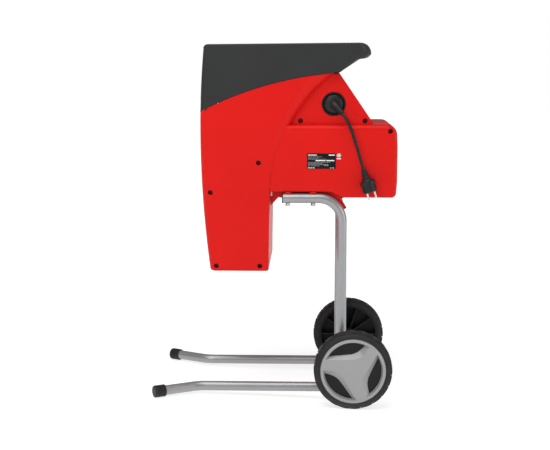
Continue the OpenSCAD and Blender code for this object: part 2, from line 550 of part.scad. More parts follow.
// One tube swept along points p, with its ends closed.
module swept(p, r, sides) {
    n = len(p);
    rings = [for (i = [0:n - 1]) let (t = route_dir(p, i), u = unit(cross(t, [1, 0.2, 0.1])), v = cross(t, u))
        for (k = [0:sides - 1]) p[i] + r * (cos(k * 360 / sides) * u + sin(k * 360 / sides) * v)];
    sides_faces = [for (i = [0:n - 2]) for (k = [0:sides - 1])
        [i * sides + k, (i + 1) * sides + k, (i + 1) * sides + (k + 1) % sides, i * sides + (k + 1) % sides]];
    polyhedron(rings, concat(sides_faces, [[for (k = [0:sides - 1]) k]], [[for (k = [sides - 1:-1:0]) (n - 1) * sides + k]]));
}
module power_cord() color([0.06, 0.06, 0.06]) swept(cord_route, cord_d / 2, 12);
plug_top = cord_route[len(cord_route) - 1];
plug_dir = [sin(18), 0, -cos(18)];
module at_plug() aim(plug_top, plug_top + plug_dir) children();
module plug() color([0.07, 0.07, 0.07]) at_plug() rotate_extrude() polygon([[0, 0.1], [6, 0.1], [9, 22], [10.5, 26],
    [13, 27], [15, 31], [19.8, 33], [19.8, 40], [17.5, 42], [17.5, 60], [16.5, 61], [0, 61]]);
module plug_pins() color("silver") at_plug() for (x = [-9.5, 9.5]) translate([x, 0, 61.05]) cylinder(r = 2.4, h = 18);

// ---------- the nodes, leaning on the feet, with the origin on the ground under the middle ----------
module place() translate([origin_shift, 0, wheel_r]) rotate([0, -lean, 0]) translate([0, 0, -wheel_r]) children();
place() left_frame_tube();
place() right_frame_tube();
place() left_foot_cap();
place() right_foot_cap();
place() tube_end_plugs();
place() cross_strut();
place() strut_bolts();
place() axle();
place() left_axle_bracket();
place() right_axle_bracket();
place() axle_spacers();
place() axle_caps();
place() left_tyre();
place() right_tyre();
place() left_rim();
place() right_rim();
place() left_hub_cover();
place() right_hub_cover();
place() left_shell();
place() right_shell();
place() shell_screws();
place() tube_saddles();
place() frame_screws();
place() frame_nuts();
place() rating_plate();
place() hopper();
place() feed_funnel();
place() hinge_pin();
place() lock_tongue();
place() lock_knob();
place() lock_stud();
place() interlock_switch();
place() switch_plate();
place() start_button();
place() stop_button();
place() reset_button();
place() throat_liner();
place() counter_knife();
place() cutter_disc();
place() knives();
place() knife_screws();
place() disc_bolt();
place() cutter_shaft();
place() bearing_plate();
place() shaft_bearings();
place() cutter_pulley();
place() drive_belt();
place() motor_pulley();
place() motor_plate();
place() motor_housing();
place() stator_core();
place() armature();
place() brush_holders();
place() cooling_fan();
place() cable_gland();
place() gland_boot();
place() power_cord();
place() plug();
place() plug_pins();
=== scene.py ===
# %% [markdown]
# # A garden shredder on a two-wheeled tube frame
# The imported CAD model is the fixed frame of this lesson. It holds every part at its real size and
# place, and it also holds the joints. What Blender adds is the skin that a moulded, welded and
# rubber-dipped machine has: rounded edges, soft steps, tread, grip ribs and finishes.
# The frame is loaded first, because every new piece is placed from it.

# %% load the frame and keep its size
import json
import math

import bpy
from mathutils import Matrix, Vector

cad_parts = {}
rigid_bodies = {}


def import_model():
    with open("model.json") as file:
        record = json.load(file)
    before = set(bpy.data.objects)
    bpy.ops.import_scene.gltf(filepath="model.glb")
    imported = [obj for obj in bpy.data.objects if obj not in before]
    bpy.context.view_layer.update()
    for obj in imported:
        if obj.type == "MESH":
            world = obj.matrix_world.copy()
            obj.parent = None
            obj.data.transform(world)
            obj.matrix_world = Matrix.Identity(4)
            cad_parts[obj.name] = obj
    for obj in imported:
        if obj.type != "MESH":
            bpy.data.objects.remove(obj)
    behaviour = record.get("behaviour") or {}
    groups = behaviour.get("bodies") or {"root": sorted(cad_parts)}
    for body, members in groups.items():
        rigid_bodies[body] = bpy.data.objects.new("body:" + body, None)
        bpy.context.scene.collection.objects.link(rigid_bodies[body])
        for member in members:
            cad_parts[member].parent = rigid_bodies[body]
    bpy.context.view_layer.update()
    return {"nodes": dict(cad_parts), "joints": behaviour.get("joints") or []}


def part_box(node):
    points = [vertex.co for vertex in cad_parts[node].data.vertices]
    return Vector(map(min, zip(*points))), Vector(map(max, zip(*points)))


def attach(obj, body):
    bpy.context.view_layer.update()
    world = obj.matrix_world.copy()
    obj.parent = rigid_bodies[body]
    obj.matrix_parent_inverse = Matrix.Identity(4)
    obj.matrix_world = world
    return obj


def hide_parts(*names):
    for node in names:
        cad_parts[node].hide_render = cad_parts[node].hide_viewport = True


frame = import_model()
nodes = frame["nodes"]
joints = {joint["name"]: joint for joint in frame["joints"]}

# %% [markdown]
# The machine stands on its two wheels and on two rubber feet, and the feet sit a little higher than
# the wheels. So the whole machine leans about two degrees. A fitter would draw each part level and
# tip the finished assembly once, and this lesson does the same: a piece is modelled level, with the
# axle over x = 0, and settle() tips it into the frame. The lean is read from the cutter's shaft.

# %% the level drawing and the lean
axle = Vector(joints["left_wheel_spin"]["pos_m"])
shaft = joints["cutter_spin"]["axis"]
lean = math.atan2(shaft[2], shaft[0])
wheel_r = axle.z
LEAN = (
    Matrix.Translation((axle.x, 0, wheel_r))
    @ Matrix.Rotation(-lean, 4, "Y")
    @ Matrix.Translation((0, 0, -wheel_r))
)
print("the machine leans", round(math.degrees(lean), 2), "degrees")


# %% [markdown]
# Operators act on whatever is selected, so every step starts from one selected object. These small
# helpers are the hand movements of the lesson: choose one object, name what was just added, apply a
# modifier, select faces or edges by where they are, and settle the finished piece.

# %% hand movements
def only(obj):
    """Makes obj the one selected and active object."""
    bpy.ops.object.select_all(action="DESELECT")
    obj.select_set(True)
    bpy.context.view_layer.objects.active = obj
    return obj


def added(name):
    """Names the object that an operator has just added, and its mesh."""
    obj = bpy.context.object
    obj.name = name
    obj.data.name = name
    return obj


def apply_modifier(obj, kind, **settings):
    """Adds one modifier, sets it and applies it at once."""
    only(obj)
    modifier = obj.modifiers.new(kind.lower(), kind)
    for key, value in settings.items():
        setattr(modifier, key, value)
    bpy.ops.object.modifier_apply(modifier=modifier.name)
    return obj


def combine(obj, tool, how):
    """Joins, cuts or keeps what two solids share, and throws the tool away."""
    apply_modifier(obj, "BOOLEAN", object=tool, operation=how, solver="EXACT")
    bpy.data.objects.remove(tool, do_unlink=True)
    return obj


def apply_place(obj):
    """Moves the object's place into its mesh, so that the object sits at the origin."""
    only(obj)
    bpy.ops.object.transform_apply(location=True, rotation=True, scale=True)
    return obj


def tidy_faces(obj, distance=1e-5):
    """Merges doubled points and turns all faces outwards."""
    only(obj)
    bpy.ops.object.mode_set(mode="EDIT")
    bpy.ops.mesh.select_all(action="SELECT")
    bpy.ops.mesh.remove_doubles(threshold=distance)
    bpy.ops.mesh.dissolve_degenerate(threshold=distance / 2)
    bpy.ops.mesh.normals_make_consistent(inside=False)
    bpy.ops.object.mode_set(mode="OBJECT")
    return obj


def smooth(obj, degrees=32):
    """Smooth shading, broken at angles above this one, with large flat faces kept flat."""
    only(obj)
    bpy.ops.object.shade_smooth_by_angle(angle=math.radians(degrees))
    return apply_modifier(obj, "WEIGHTED_NORMAL", weight=100, keep_sharp=True)


def settle(obj, degrees=32):
    """Tips a level piece into the frame, puts its place into its mesh and smooths it."""
    obj.matrix_world = LEAN @ obj.matrix_world
    apply_place(obj)
    return smooth(obj, degrees)


def joined(objs, name):
    """Joins several objects into the first one."""
    only(objs[0])
    for obj in objs[1:]:
        obj.select_set(True)
    if len(objs) > 1:
        bpy.ops.object.join()
    return added(name)


def copy_of(obj, name, matrix=None):
    """A copy with its own mesh, moved by a matrix."""
    twin = obj.copy()
    twin.data = obj.data.copy()
    twin.name = twin.data.name = name
    bpy.context.collection.objects.link(twin)
    if matrix is not None:
        twin.matrix_world = matrix @ twin.matrix_world
    return twin


def mirrored(obj, name):
    """A copy on the other side of the machine's middle plane, turned right side out again."""
    twin = copy_of(obj, name, Matrix.Scale(-1, 4, (0, 1, 0)))
    apply_place(twin)
    return tidy_faces(twin)


# %% [markdown]
# ## The camera and the stage
# The camera stands about three metres to the left side of the machine, a little above its middle,
# and looks slightly down and slightly towards the feet. It leans with the machine, so the frame's
# posts come out upright. The light is that of a product table: a large soft source overhead, a
# softer one from the right and a white floor. The sky is white for the camera alone, and a
# dimmer dome for everything else, so that the red plastic keeps its depth.

# %% the camera
CAMERA_PLACE = Vector((-0.1061, -3.0861, 0.8797))
CAMERA_TURN = 0.032
CAMERA_TIP = 0.141
bpy.ops.object.camera_add()
camera = bpy.context.object
camera.matrix_world = (
    LEAN
    @ Matrix.Translation(CAMERA_PLACE)
    @ Matrix.Rotation(CAMERA_TURN, 4, "Z")
    @ Matrix.Rotation(math.pi / 2 - CAMERA_TIP, 4, "X")
)
camera.data.lens = 76.05
camera.data.sensor_width = 36
bpy.context.scene.camera = camera
print("camera at", [round(v, 3) for v in camera.matrix_world.translation])

# %% the floor
bpy.ops.mesh.primitive_plane_add(size=40, location=(0, 0, -0.0005))
floor = added("floor")
floor_paint = bpy.data.materials.new("studio_floor")
floor_paint.use_nodes = True
floor_shader = floor_paint.node_tree.nodes["Principled BSDF"]
floor_shader.inputs["Base Color"].default_value = (0.50, 0.50, 0.50, 1)
floor_shader.inputs["Roughness"].default_value = 0.9
floor_shader.inputs["Specular IOR Level"].default_value = 0.0
floor_shader.inputs["Emission Color"].default_value = (1, 1, 1, 1)
tree = floor_paint.node_tree
place = tree.nodes.new("ShaderNodeTexCoord")
reach = tree.nodes.new("ShaderNodeVectorMath")
reach.operation = "LENGTH"
tree.links.new(place.outputs["Object"], reach.inputs[0])
glow = tree.nodes.new("ShaderNodeMapRange")
glow.interpolation_type = "SMOOTHSTEP"
glow.inputs["From Min"].default_value = 0.5
glow.inputs["From Max"].default_value = 3.0
glow.inputs["To Min"].default_value = 0.72
glow.inputs["To Max"].default_value = 1.0
tree.links.new(reach.outputs["Value"], glow.inputs["Value"])
tree.links.new(glow.outputs["Result"], floor_shader.inputs["Emission Strength"])
floor.data.materials.append(floor_paint)


# %% the lights
def soft_light(name, place, size, power):
    """A square area light that faces the machine's middle."""
    bpy.ops.object.light_add(type="AREA", location=place)
    light = bpy.context.object
    light.name = name
    light.data.size = size
    light.data.energy = power
    aim = Vector((0, 0, 0.5)) - Vector(place)
    light.rotation_euler = aim.to_track_quat("-Z", "Y").to_euler()
    return light


soft_light("overhead", (-0.5, -1.0, 3.0), 2.4, 58)
soft_light("side_right", (2.8, -1.2, 1.4), 1.8, 26)
soft_light("front_left", (-1.6, -3.4, 2.2), 1.6, 34)
bpy.context.scene.view_settings.view_transform = "Standard"

# %% the sky
world = bpy.data.worlds.new("studio")
world.use_nodes = True
bpy.context.scene.world = world
sky = world.node_tree
sky.nodes.clear()
ray = sky.nodes.new("ShaderNodeLightPath")
dome = sky.nodes.new("ShaderNodeBackground")
dome.inputs["Color"].default_value = (0.96, 0.98, 1.0, 1)
dome.inputs["Strength"].default_value = 0.29
backdrop = sky.nodes.new("ShaderNodeBackground")
backdrop.inputs["Strength"].default_value = 1.0
backdrop.inputs["Color"].default_value = (1, 1, 1, 1)
choose = sky.nodes.new("ShaderNodeMixShader")
sky_out = sky.nodes.new("ShaderNodeOutputWorld")
sky.links.new(ray.outputs["Is Camera Ray"], choose.inputs["Fac"])
sky.links.new(dome.outputs[0], choose.inputs[1])
sky.links.new(backdrop.outputs[0], choose.inputs[2])
sky.links.new(choose.outputs[0], sky_out.inputs["Surface"])
print("stage set")


# %% [markdown]
# ## The finishes
# Each finish starts from what the real surface is. Moulded plastic has a spark-eroded grain in the
# mould, so its shine is broken by a very fine bump, and its colour drifts a little where the melt
# flowed. Powder-coated steel has a slight orange peel. Zinc has cloudy crystals. One helper lays
# out the nodes that all of them share: a broad cloud for the colour, a second one for the
# shine, and a fine grain for the bump, all on Object coordinates, since every piece sits at
# the origin. What is constant is set on the shader itself.

# %% one node layout for all finishes
def surface(name, colour, rough, drift=0.06, rough_drift=0.06, grain=900, depth=0.12, relief=0.0002,
            metal=0.0, specular=0.5, cloud=9.0, coat=0.0, stretch=(1, 1, 1)):
    """A finish with colour drift, shine drift and grain."""
    paint = bpy.data.materials.new(name)
    paint.use_nodes = True
    tree = paint.node_tree
    shader = tree.nodes["Principled BSDF"]
    shader.inputs["Metallic"].default_value = metal
    shader.inputs["Specular IOR Level"].default_value = specular
    shader.inputs["Coat Weight"].default_value = coat
    place = tree.nodes.new("ShaderNodeTexCoord")
    scale = tree.nodes.new("ShaderNodeMapping")
    scale.inputs["Scale"].default_value = stretch
    tree.links.new(place.outputs["Object"], scale.inputs["Vector"])

    broad = tree.nodes.new("ShaderNodeTexNoise")
    broad.inputs["Scale"].default_value = cloud
    broad.inputs["Detail"].default_value = 4
    tree.links.new(scale.outputs[0], broad.inputs["Vector"])
    tint = tree.nodes.new("ShaderNodeValToRGB")
    tint.color_ramp.elements[0].position = 0.3
    tint.color_ramp.elements[1].position = 0.7
    tint.color_ramp.elements[0].color = [c * (1 - drift) for c in colour] + [1]
    tint.color_ramp.elements[1].color = [c * (1 + drift) for c in colour] + [1]
    tree.links.new(broad.outputs["Fac"], tint.inputs["Fac"])
    tree.links.new(tint.outputs["Color"], shader.inputs["Base Color"])

    shine = tree.nodes.new("ShaderNodeTexNoise")
    shine.inputs["Scale"].default_value = cloud * 5
    shine.inputs["Detail"].default_value = 3
    tree.links.new(scale.outputs[0], shine.inputs["Vector"])
    spread = tree.nodes.new("ShaderNodeMapRange")
    spread.inputs["To Min"].default_value = rough - rough_drift
    spread.inputs["To Max"].default_value = rough + rough_drift
    tree.links.new(shine.outputs["Fac"], spread.inputs["Value"])
    tree.links.new(spread.outputs["Result"], shader.inputs["Roughness"])

    fine = tree.nodes.new("ShaderNodeTexNoise")
    fine.inputs["Scale"].default_value = grain
    fine.inputs["Detail"].default_value = 2
    tree.links.new(scale.outputs[0], fine.inputs["Vector"])
    bump = tree.nodes.new("ShaderNodeBump")
    bump.inputs["Strength"].default_value = depth
    bump.inputs["Distance"].default_value = relief
    tree.links.new(fine.outputs["Fac"], bump.inputs["Height"])
    tree.links.new(bump.outputs["Normal"], shader.inputs["Normal"])
    return paint


# %% [markdown]
# Rubber and tyres need one layer more: a little pale dust that collects low down, added to the shared layout
# by its own function. The machined disc has turning marks that run round its shaft; they are only its grain,
# stretched along one axis.

# %% a layer of dust that fades upwards
def dusty(paint, dust, height, amount):
    """Mixes a pale dust into the colour, strongest at the ground and gone at the given height."""
    tree = paint.node_tree
    shader = tree.nodes["Principled BSDF"]
    colour_link = shader.inputs["Base Color"].links[0]
    place = tree.nodes.new("ShaderNodeTexCoord")
    split = tree.nodes.new("ShaderNodeSeparateXYZ")
    tree.links.new(place.outputs["Object"], split.inputs[0])
    fade = tree.nodes.new("ShaderNodeMapRange")
    fade.inputs["From Min"].default_value = 0
    fade.inputs["From Max"].default_value = height
    fade.inputs["To Min"].default_value = amount
    fade.inputs["To Max"].default_value = 0
    tree.links.new(split.outputs["Z"], fade.inputs["Value"])
    speck = tree.nodes.new("ShaderNodeTexNoise")
    speck.inputs["Scale"].default_value = 120
    speck.inputs["Detail"].default_value = 6
    tree.links.new(place.outputs["Object"], speck.inputs["Vector"])
    cover = tree.nodes.new("ShaderNodeMath")
    cover.operation = "MULTIPLY"
    tree.links.new(fade.outputs["Result"], cover.inputs[0])
    tree.links.new(speck.outputs["Fac"], cover.inputs[1])
    mix = tree.nodes.new("ShaderNodeMix")
    mix.data_type = "RGBA"
    mix.inputs["B"].default_value = (*dust, 1)
    tree.links.new(cover.outputs[0], mix.inputs["Factor"])
    tree.links.new(colour_link.from_socket, mix.inputs["A"])
    tree.links.new(mix.outputs["Result"], shader.inputs["Base Color"])
    return paint


# %% the finishes of the outside
DUST = (0.30, 0.28, 0.25)
PAINT = {
    "red_housing": surface("red_housing", (0.60, 0.0045, 0.0025), 0.38, drift=0.05, grain=1400,
                           depth=0.10, specular=0.16, cloud=5),
    "black_hopper": surface("black_hopper", (0.019, 0.0193, 0.020), 0.48, drift=0.10, grain=1100,
                            depth=0.30, specular=0.25, cloud=6),
    "black_trim": surface("black_trim", (0.009, 0.009, 0.0095), 0.42, drift=0.10, grain=1300,
                          depth=0.20, specular=0.22),
    "frame_silver": surface("frame_silver", (0.31, 0.315, 0.32), 0.34, drift=0.04, grain=700,
                            depth=0.10, metal=0.55, coat=0.1, cloud=14),
    "wheel_silver": surface("wheel_silver", (0.31, 0.31, 0.315), 0.40, drift=0.04, grain=1500,
                            depth=0.10, metal=0.25),
    "tyre_black": dusty(surface("tyre_black", (0.020, 0.020, 0.0205), 0.56, drift=0.12, grain=600,
                                depth=0.28, specular=0.22), DUST, 0.05, 0.12),
    "foot_rubber": dusty(surface("foot_rubber", (0.012, 0.012, 0.012), 0.52, drift=0.10, grain=900,
                                 depth=0.25, specular=0.25), DUST, 0.04, 0.10),
    "cord_rubber": surface("cord_rubber", (0.010, 0.010, 0.010), 0.42, drift=0.10, grain=1500,
                           depth=0.14, specular=0.28),
    "label_black": surface("label_black", (0.005, 0.005, 0.0055), 0.30, drift=0.08, grain=400,
                           depth=0.04, specular=0.15),
}
print(len(PAINT), "outside finishes")

# %% the finishes of the hardware and the inside
PAINT.update({
    "zinc": surface("zinc", (0.62, 0.62, 0.60), 0.33, drift=0.14, rough_drift=0.1, grain=500,
                    depth=0.10, metal=1.0, cloud=60),
    "black_screws": surface("black_screws", (0.05, 0.05, 0.05), 0.38, drift=0.15, grain=900,
                            depth=0.12, metal=0.8, cloud=80),
    "start_green": surface("start_green", (0.010, 0.22, 0.045), 0.34, grain=1400, depth=0.10),
    "stop_red": surface("stop_red", (0.52, 0.012, 0.010), 0.34, grain=1400, depth=0.10),
    "blade_steel": surface("blade_steel", (0.66, 0.66, 0.67), 0.22, drift=0.05, grain=260,
                           depth=0.14, metal=1.0, stretch=(1, 14, 1)),
    "disc_steel": surface("disc_steel", (0.48, 0.48, 0.49), 0.36, drift=0.08, grain=240,
                          depth=0.16, metal=1.0, stretch=(14, 1, 1)),
    "plate_steel": surface("plate_steel", (0.55, 0.56, 0.57), 0.38, drift=0.12, grain=420,
                           depth=0.10, metal=1.0, cloud=40),
    "cast_alloy": surface("cast_alloy", (0.50, 0.50, 0.50), 0.52, drift=0.08, grain=520,
                          depth=0.45, metal=0.9),
    "belt_rubber": surface("belt_rubber", (0.016, 0.016, 0.016), 0.62, grain=700, depth=0.3),
    "winding_copper": surface("winding_copper", (0.62, 0.25, 0.11), 0.30, grain=380, depth=0.4,
                              metal=0.9, stretch=(1, 8, 8)),
    "brush_brass": surface("brush_brass", (0.70, 0.52, 0.22), 0.30, grain=500, metal=1.0),
    "fan_grey": surface("fan_grey", (0.11, 0.11, 0.115), 0.46, grain=1200, depth=0.2),
})
for name, node in nodes.items():
    for place in node.material_slots:
        place.material = PAINT[place.material.name.split(".")[0]]
print(len(PAINT), "finishes on", len(nodes), "nodes")
# %% [markdown]
# ## Outlines, turned shapes and swept walls
# The housing was drawn as side outlines that are pulled across the machine. Real mouldings never
# have sharp edges, so each outline is laid several times on its way across: near the outer face it
# is drawn in, first a lot and then less, which rounds the edge. loft() does that with a filled
# circle that has one vertex for each point of the outline. The circle is moved onto the first
# outline, extruded, and moved onto the next, until the far side is reached.

# %% points on arcs
def arc(cx, cz, radius, start, end, steps):
    """Points on an arc, with angles in degrees, from +X towards +Z."""
    turn = [math.radians(start + (end - start) * i / steps) for i in range(steps + 1)]
    return [(cx + radius * math.cos(a), cz + radius * math.sin(a)) for a in turn]


def between(a, b, steps):
    """Evenly spaced points from a to b, both included."""
    return [(a[0] + (b[0] - a[0]) * i / steps, a[1] + (b[1] - a[1]) * i / steps)
            for i in range(steps + 1)]


def drawn_in(depth, radius):
    """How far a rounded edge of this radius is drawn in at this depth below the outer face."""
    if depth >= radius:
        return 0.0
    return radius - math.sqrt(radius ** 2 - (radius - depth) ** 2)


# %% a solid laid from outline to outline
def loft(name, rings):
    """A closed solid through rings of 3-D points. All rings have the same number of points."""
    bpy.ops.object.select_all(action="DESELECT")
    bpy.ops.mesh.primitive_circle_add(vertices=len(rings[0]), radius=1, fill_type="NGON")
    obj = added(name)
    for vertex, point in zip(obj.data.vertices, rings[0]):
        vertex.co = point
    old = rings[0]
    for ring in rings[1:]:
        number = {tuple(round(c, 6) for c in Vector(p)): i for i, p in enumerate(old)}
        bpy.ops.object.mode_set(mode="EDIT")
        if ring is rings[1]:
            bpy.ops.mesh.select_all(action="SELECT")
        bpy.ops.mesh.extrude_region_move()
        bpy.ops.object.mode_set(mode="OBJECT")
        for vertex in obj.data.vertices:
            if vertex.select:
                vertex.co = ring[number[tuple(round(c, 6) for c in vertex.co)]]
        old = [tuple(Vector(p)) for p in ring]
    return tidy_faces(obj, 2e-6)


def across(outline, y):
    """Stands an outline of (x, z) points up at a given y."""
    return [(x, y, z) for x, z in outline]


# %% [markdown]
# A turned part, such as a tyre or a knob, is a closed profile that is spun about an axis. The
# profile is again a circle with one vertex for each point. Where it touches the axis, the spun
# points fall together, so the doubles are merged before the faces are turned outwards.

# %% a turned shape
def turned(name, profile, steps=96):
    """Spins a profile of (radius, height) points about the Z axis."""
    bpy.ops.object.select_all(action="DESELECT")
    bpy.ops.mesh.primitive_circle_add(vertices=len(profile), radius=1, fill_type="NOTHING")
    obj = added(name)
    for vertex, (radius, height) in zip(obj.data.vertices, profile):
        vertex.co = (radius, 0, height)
    bpy.ops.object.mode_set(mode="EDIT")
    bpy.ops.mesh.select_all(action="SELECT")
    bpy.ops.mesh.spin(steps=steps, angle=math.tau, center=(0, 0, 0), axis=(0, 0, 1))
    bpy.ops.object.mode_set(mode="OBJECT")
    return tidy_faces(obj)


def placed(obj, matrix):
    """Moves a piece with a matrix and puts the move into its mesh."""
    obj.matrix_world = matrix @ obj.matrix_world
    return apply_place(obj)


def on_y(x, y, z):
    """A matrix that lays a turned shape's +Z axis along -Y, towards the left side, at a point."""
    return Matrix.Translation((x, y, z)) @ Matrix.Rotation(math.pi / 2, 4, "X")


def softened(node_name, width, segments=2, limit=40):
    """A copy of a CAD node with its flat faces made whole and its sharp edges rounded."""
    source = nodes[node_name]
    obj = copy_of(source, node_name + "_soft")
    obj.parent = None
    obj.matrix_world = Matrix.Identity(4)
    only(obj)
    bpy.ops.object.mode_set(mode="EDIT")
    bpy.ops.mesh.select_all(action="SELECT")
    bpy.ops.mesh.remove_doubles(threshold=1e-6)
    bpy.ops.mesh.dissolve_limited(angle_limit=math.radians(1.0))
    bpy.ops.object.mode_set(mode="OBJECT")
    apply_modifier(obj, "BEVEL", width=width, segments=segments, limit_method="ANGLE",
                   angle_limit=math.radians(limit), use_clamp_overlap=True, harden_normals=False)
    smooth(obj, 38)
    return obj


def stand_for(obj, body, paint, *replaced, slot=None):
    """Paints a finished piece, hangs it on its body and lets it stand for CAD nodes."""
    obj.data.materials.clear()
    obj.data.materials.append(PAINT[paint])
    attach(obj, body)
    if replaced:
        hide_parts(*replaced)
    print(obj.name, len(obj.data.polygons), "faces on", body)
    return obj


# %% [markdown]
# ## The power cord
# The lead is a short stiff rubber one. It leaves a bell-mouthed boot in the side of the housing,
# bends once and hangs past the motor box to a moulded plug. It is seen from end to end, so its
# length is the length of this route. A bevelled curve is the natural way to make a round cable:
# the points are the cable's middle, and the bevel depth is its radius.

# %% the cord's route, level, in metres
CORD_D = 0.0085
ROUTE = [
    (-0.030, -0.147, 0.746), (-0.025, -0.1515, 0.7405), (-0.0198, -0.1555, 0.732),
    (-0.015, -0.1586, 0.7225), (-0.0106, -0.161, 0.7125), (-0.0065, -0.1629, 0.702),
    (-0.0027, -0.1643, 0.691), (0.0009, -0.1652, 0.680), (0.0044, -0.1658, 0.669),
    (0.0078, -0.1662, 0.658), (0.0112, -0.1664, 0.647), (0.0145, -0.1665, 0.636),
    (0.0178, -0.1665, 0.625), (0.021, -0.1665, 0.614), (0.0228, -0.1665, 0.608),
]
route = [LEAN @ Vector(point) for point in ROUTE]

# %% the cord
cord_curve = bpy.data.curves.new("power_cord_lead", "CURVE")
cord_curve.dimensions = "3D"
cord_curve.bevel_depth = CORD_D / 2
cord_curve.bevel_resolution = 6
cord_curve.use_fill_caps = True
line = cord_curve.splines.new("POLY")
line.points.add(len(route) - 1)
for point, spot in zip(line.points, route):
    point.co = (*spot, 1)
cord = bpy.data.objects.new("power_cord_lead", cord_curve)
bpy.context.collection.objects.link(cord)
cord.data.materials.append(PAINT["cord_rubber"])
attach(cord, "machine")
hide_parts("power_cord")

# %% [markdown]
# The plug is one moulding. Its tail is a row of rubber rings that get wider towards the body, so
# that the cable can't kink where it enters. The rings are notches in the turned profile, and the
# body ends in a flat face with a chamfer. A grip flange stands between the tail and the body.

# %% the plug
def ribbed_tail(length, r_start, r_end, count, groove):
    """Profile points of a tapered tail whose rings are parted by grooves."""
    points = []
    pitch = length / count
    for i in range(count):
        r = r_start + (r_end - r_start) * (i + 0.5) / count
        low = r - groove
        start = i * pitch
        points += [(low, start), (r - 0.0003, start + pitch * 0.28), (r, start + pitch * 0.40),
                   (r, start + pitch * 0.80), (r - 0.0003, start + pitch * 0.92)]
    return points


PLUG_LEAN = math.radians(18)
plug_place = (
    Matrix.Translation(ROUTE[-1])
    @ Matrix.Rotation(-PLUG_LEAN, 4, "Y")
    @ Matrix.Rotation(math.pi, 4, "X")
)
plug_profile = [(0, 0.0001), (0.0049, 0.0001)]
plug_profile += ribbed_tail(0.026, 0.0062, 0.0105, 6, 0.0016)
plug_profile += [(0.0115, 0.0268), (0.0135, 0.028), (0.0156, 0.0305), (0.0180, 0.0318)]
plug_profile += [(0.0193, 0.0325), (0.0198, 0.0338), (0.0198, 0.0388), (0.0192, 0.0402)]
plug_profile += [(0.0178, 0.0412), (0.0174, 0.0425), (0.0175, 0.0585), (0.0171, 0.0602), (0.0160, 0.061)]
plug_profile += [(0.006, 0.0608), (0, 0.0606)]
plug = turned("mains_plug", plug_profile, 64)
print("plug:", len(plug.data.polygons), "faces")
placed(plug, plug_place)
stand_for(settle(plug, 28), "machine", "cord_rubber", "plug")

# %% the grips on the plug's body
bars = []
for k in range(24):
    angle = math.tau * k / 24
    bpy.ops.object.select_all(action="DESELECT")
    bpy.ops.mesh.primitive_cube_add(size=1, location=(0.0174, 0, 0.0508))
    bar = added("plug_grip_bar")
    bar.scale = (0.0012, 0.0014, 0.0125)
    apply_place(bar)
    apply_modifier(bar, "BEVEL", width=0.00045, segments=2)
    placed(bar, Matrix.Rotation(angle, 4, "Z"))
    bars.append(bar)
grips = joined(bars, "plug_grips")
placed(grips, plug_place)
stand_for(settle(grips, 40), "machine", "cord_rubber")

# %% the plug's pins
pins = []
for side in (-1, 1):
    pin = turned("plug_pin", [(0, 0), (0.0024, 0), (0.0024, 0.0165), (0.0021, 0.0175),
                              (0.0014, 0.01795), (0, 0.018)], 32)
    placed(pin, Matrix.Translation((side * 0.0095, 0, 0.06105)))
    pins.append(pin)
pins = joined(pins, "mains_pins")
placed(pins, plug_place)
stand_for(settle(pins), "machine", "zinc", "plug_pins")

# %% [markdown]
# The boot closes the round recess in the housing: a shallow dome, and out of it a tapered sleeve
# with rings that holds the cable in its first bend. The dome is turned about the recess's axis
# and the sleeve about the cable's first direction, and the two are one rubber moulding.

# %% the boot
GLAND = Vector((-0.052, -0.125, 0.7695))
dome = turned("gland_dome", [(0, 0), (0.0265, 0), (0.0265, 0.0030), (0.0262, 0.0036), (0.0255, 0.0040),
                             (0.0245, 0.0040), (0.0240, 0.0048), (0.0232, 0.0072), (0.0205, 0.0092),
                             (0.0170, 0.0104), (0.0110, 0.0114), (0.0050, 0.0119), (0, 0.0120)], 80)
placed(dome, on_y(GLAND.x, GLAND.y + 0.0089, GLAND.z))
sleeve_from = Vector((-0.052, -0.128, 0.7695))
sleeve_to = Vector(ROUTE[0])
sleeve_run = (sleeve_to - sleeve_from).length
sleeve_profile = [(0, 0), (0.0108, 0)]
for i in range(6):
    r = 0.0108 - 0.0046 * (i + 0.5) / 6
    z = sleeve_run * (0.30 + 0.70 * i / 6)
    step = sleeve_run * 0.70 / 6
    sleeve_profile += [(r, z), (r, z + step * 0.60)]
    sleeve_profile += [(r - 0.0012, z + step * 0.72), (r - 0.0012, z + step * 0.95)]
sleeve_profile += [(0.0056, sleeve_run), (0, sleeve_run)]
sleeve = turned("gland_sleeve", sleeve_profile, 48)
sleeve_turn = (sleeve_to - sleeve_from).to_track_quat("Z", "Y")
placed(sleeve, Matrix.Translation(sleeve_from) @ sleeve_turn.to_matrix().to_4x4())
boot = combine(dome, sleeve, "UNION")
boot.name = "cord_boot"
stand_for(settle(boot, 30), "machine", "cord_rubber", "gland_boot")

# %% [markdown]
# ## The housing
# Two red half shells meet in the middle plane. Seen from the side, three bodies run into each
# other: the tall chute body in front, the motor box behind it and a recessed web above the box.
# The chute body's back edge follows a wide arc, and there its side falls away to the web in a
# soft S-shaped valley. That valley and all the edge roundings come from one table of depths: at
# each depth below the outer face, each edge of the outline is drawn in by its own amount.

# %% the driving outlines
CHUTE_Y = 0.150
BOX_Y = 0.145
WEB_Y = 0.125
WALL = 0.0032
OUTLET_Z = 0.343
HINGE = (-0.387, 0.751)
PANEL_TOP = Vector((-0.038, 0.8475))
PANEL_FOOT = Vector((0.054, 0.714))
PANEL_DIR = (PANEL_FOOT - PANEL_TOP).normalized()
PANEL_OUT = Vector((-PANEL_DIR.y, PANEL_DIR.x))
CREASE = (0.2007, 0.521, 0.412)


def front_x(z):
    """The front of the chute body and hopper: a very flat curve."""
    return -0.3905 + (z - 0.700) ** 2 / (5.4 if z < 0.700 else 4.5)


def seam_z(x):
    """The seam between the housing and the hopper: a wide arc."""
    return -0.044 + math.sqrt(0.894 ** 2 - (x - 0.0205) ** 2)


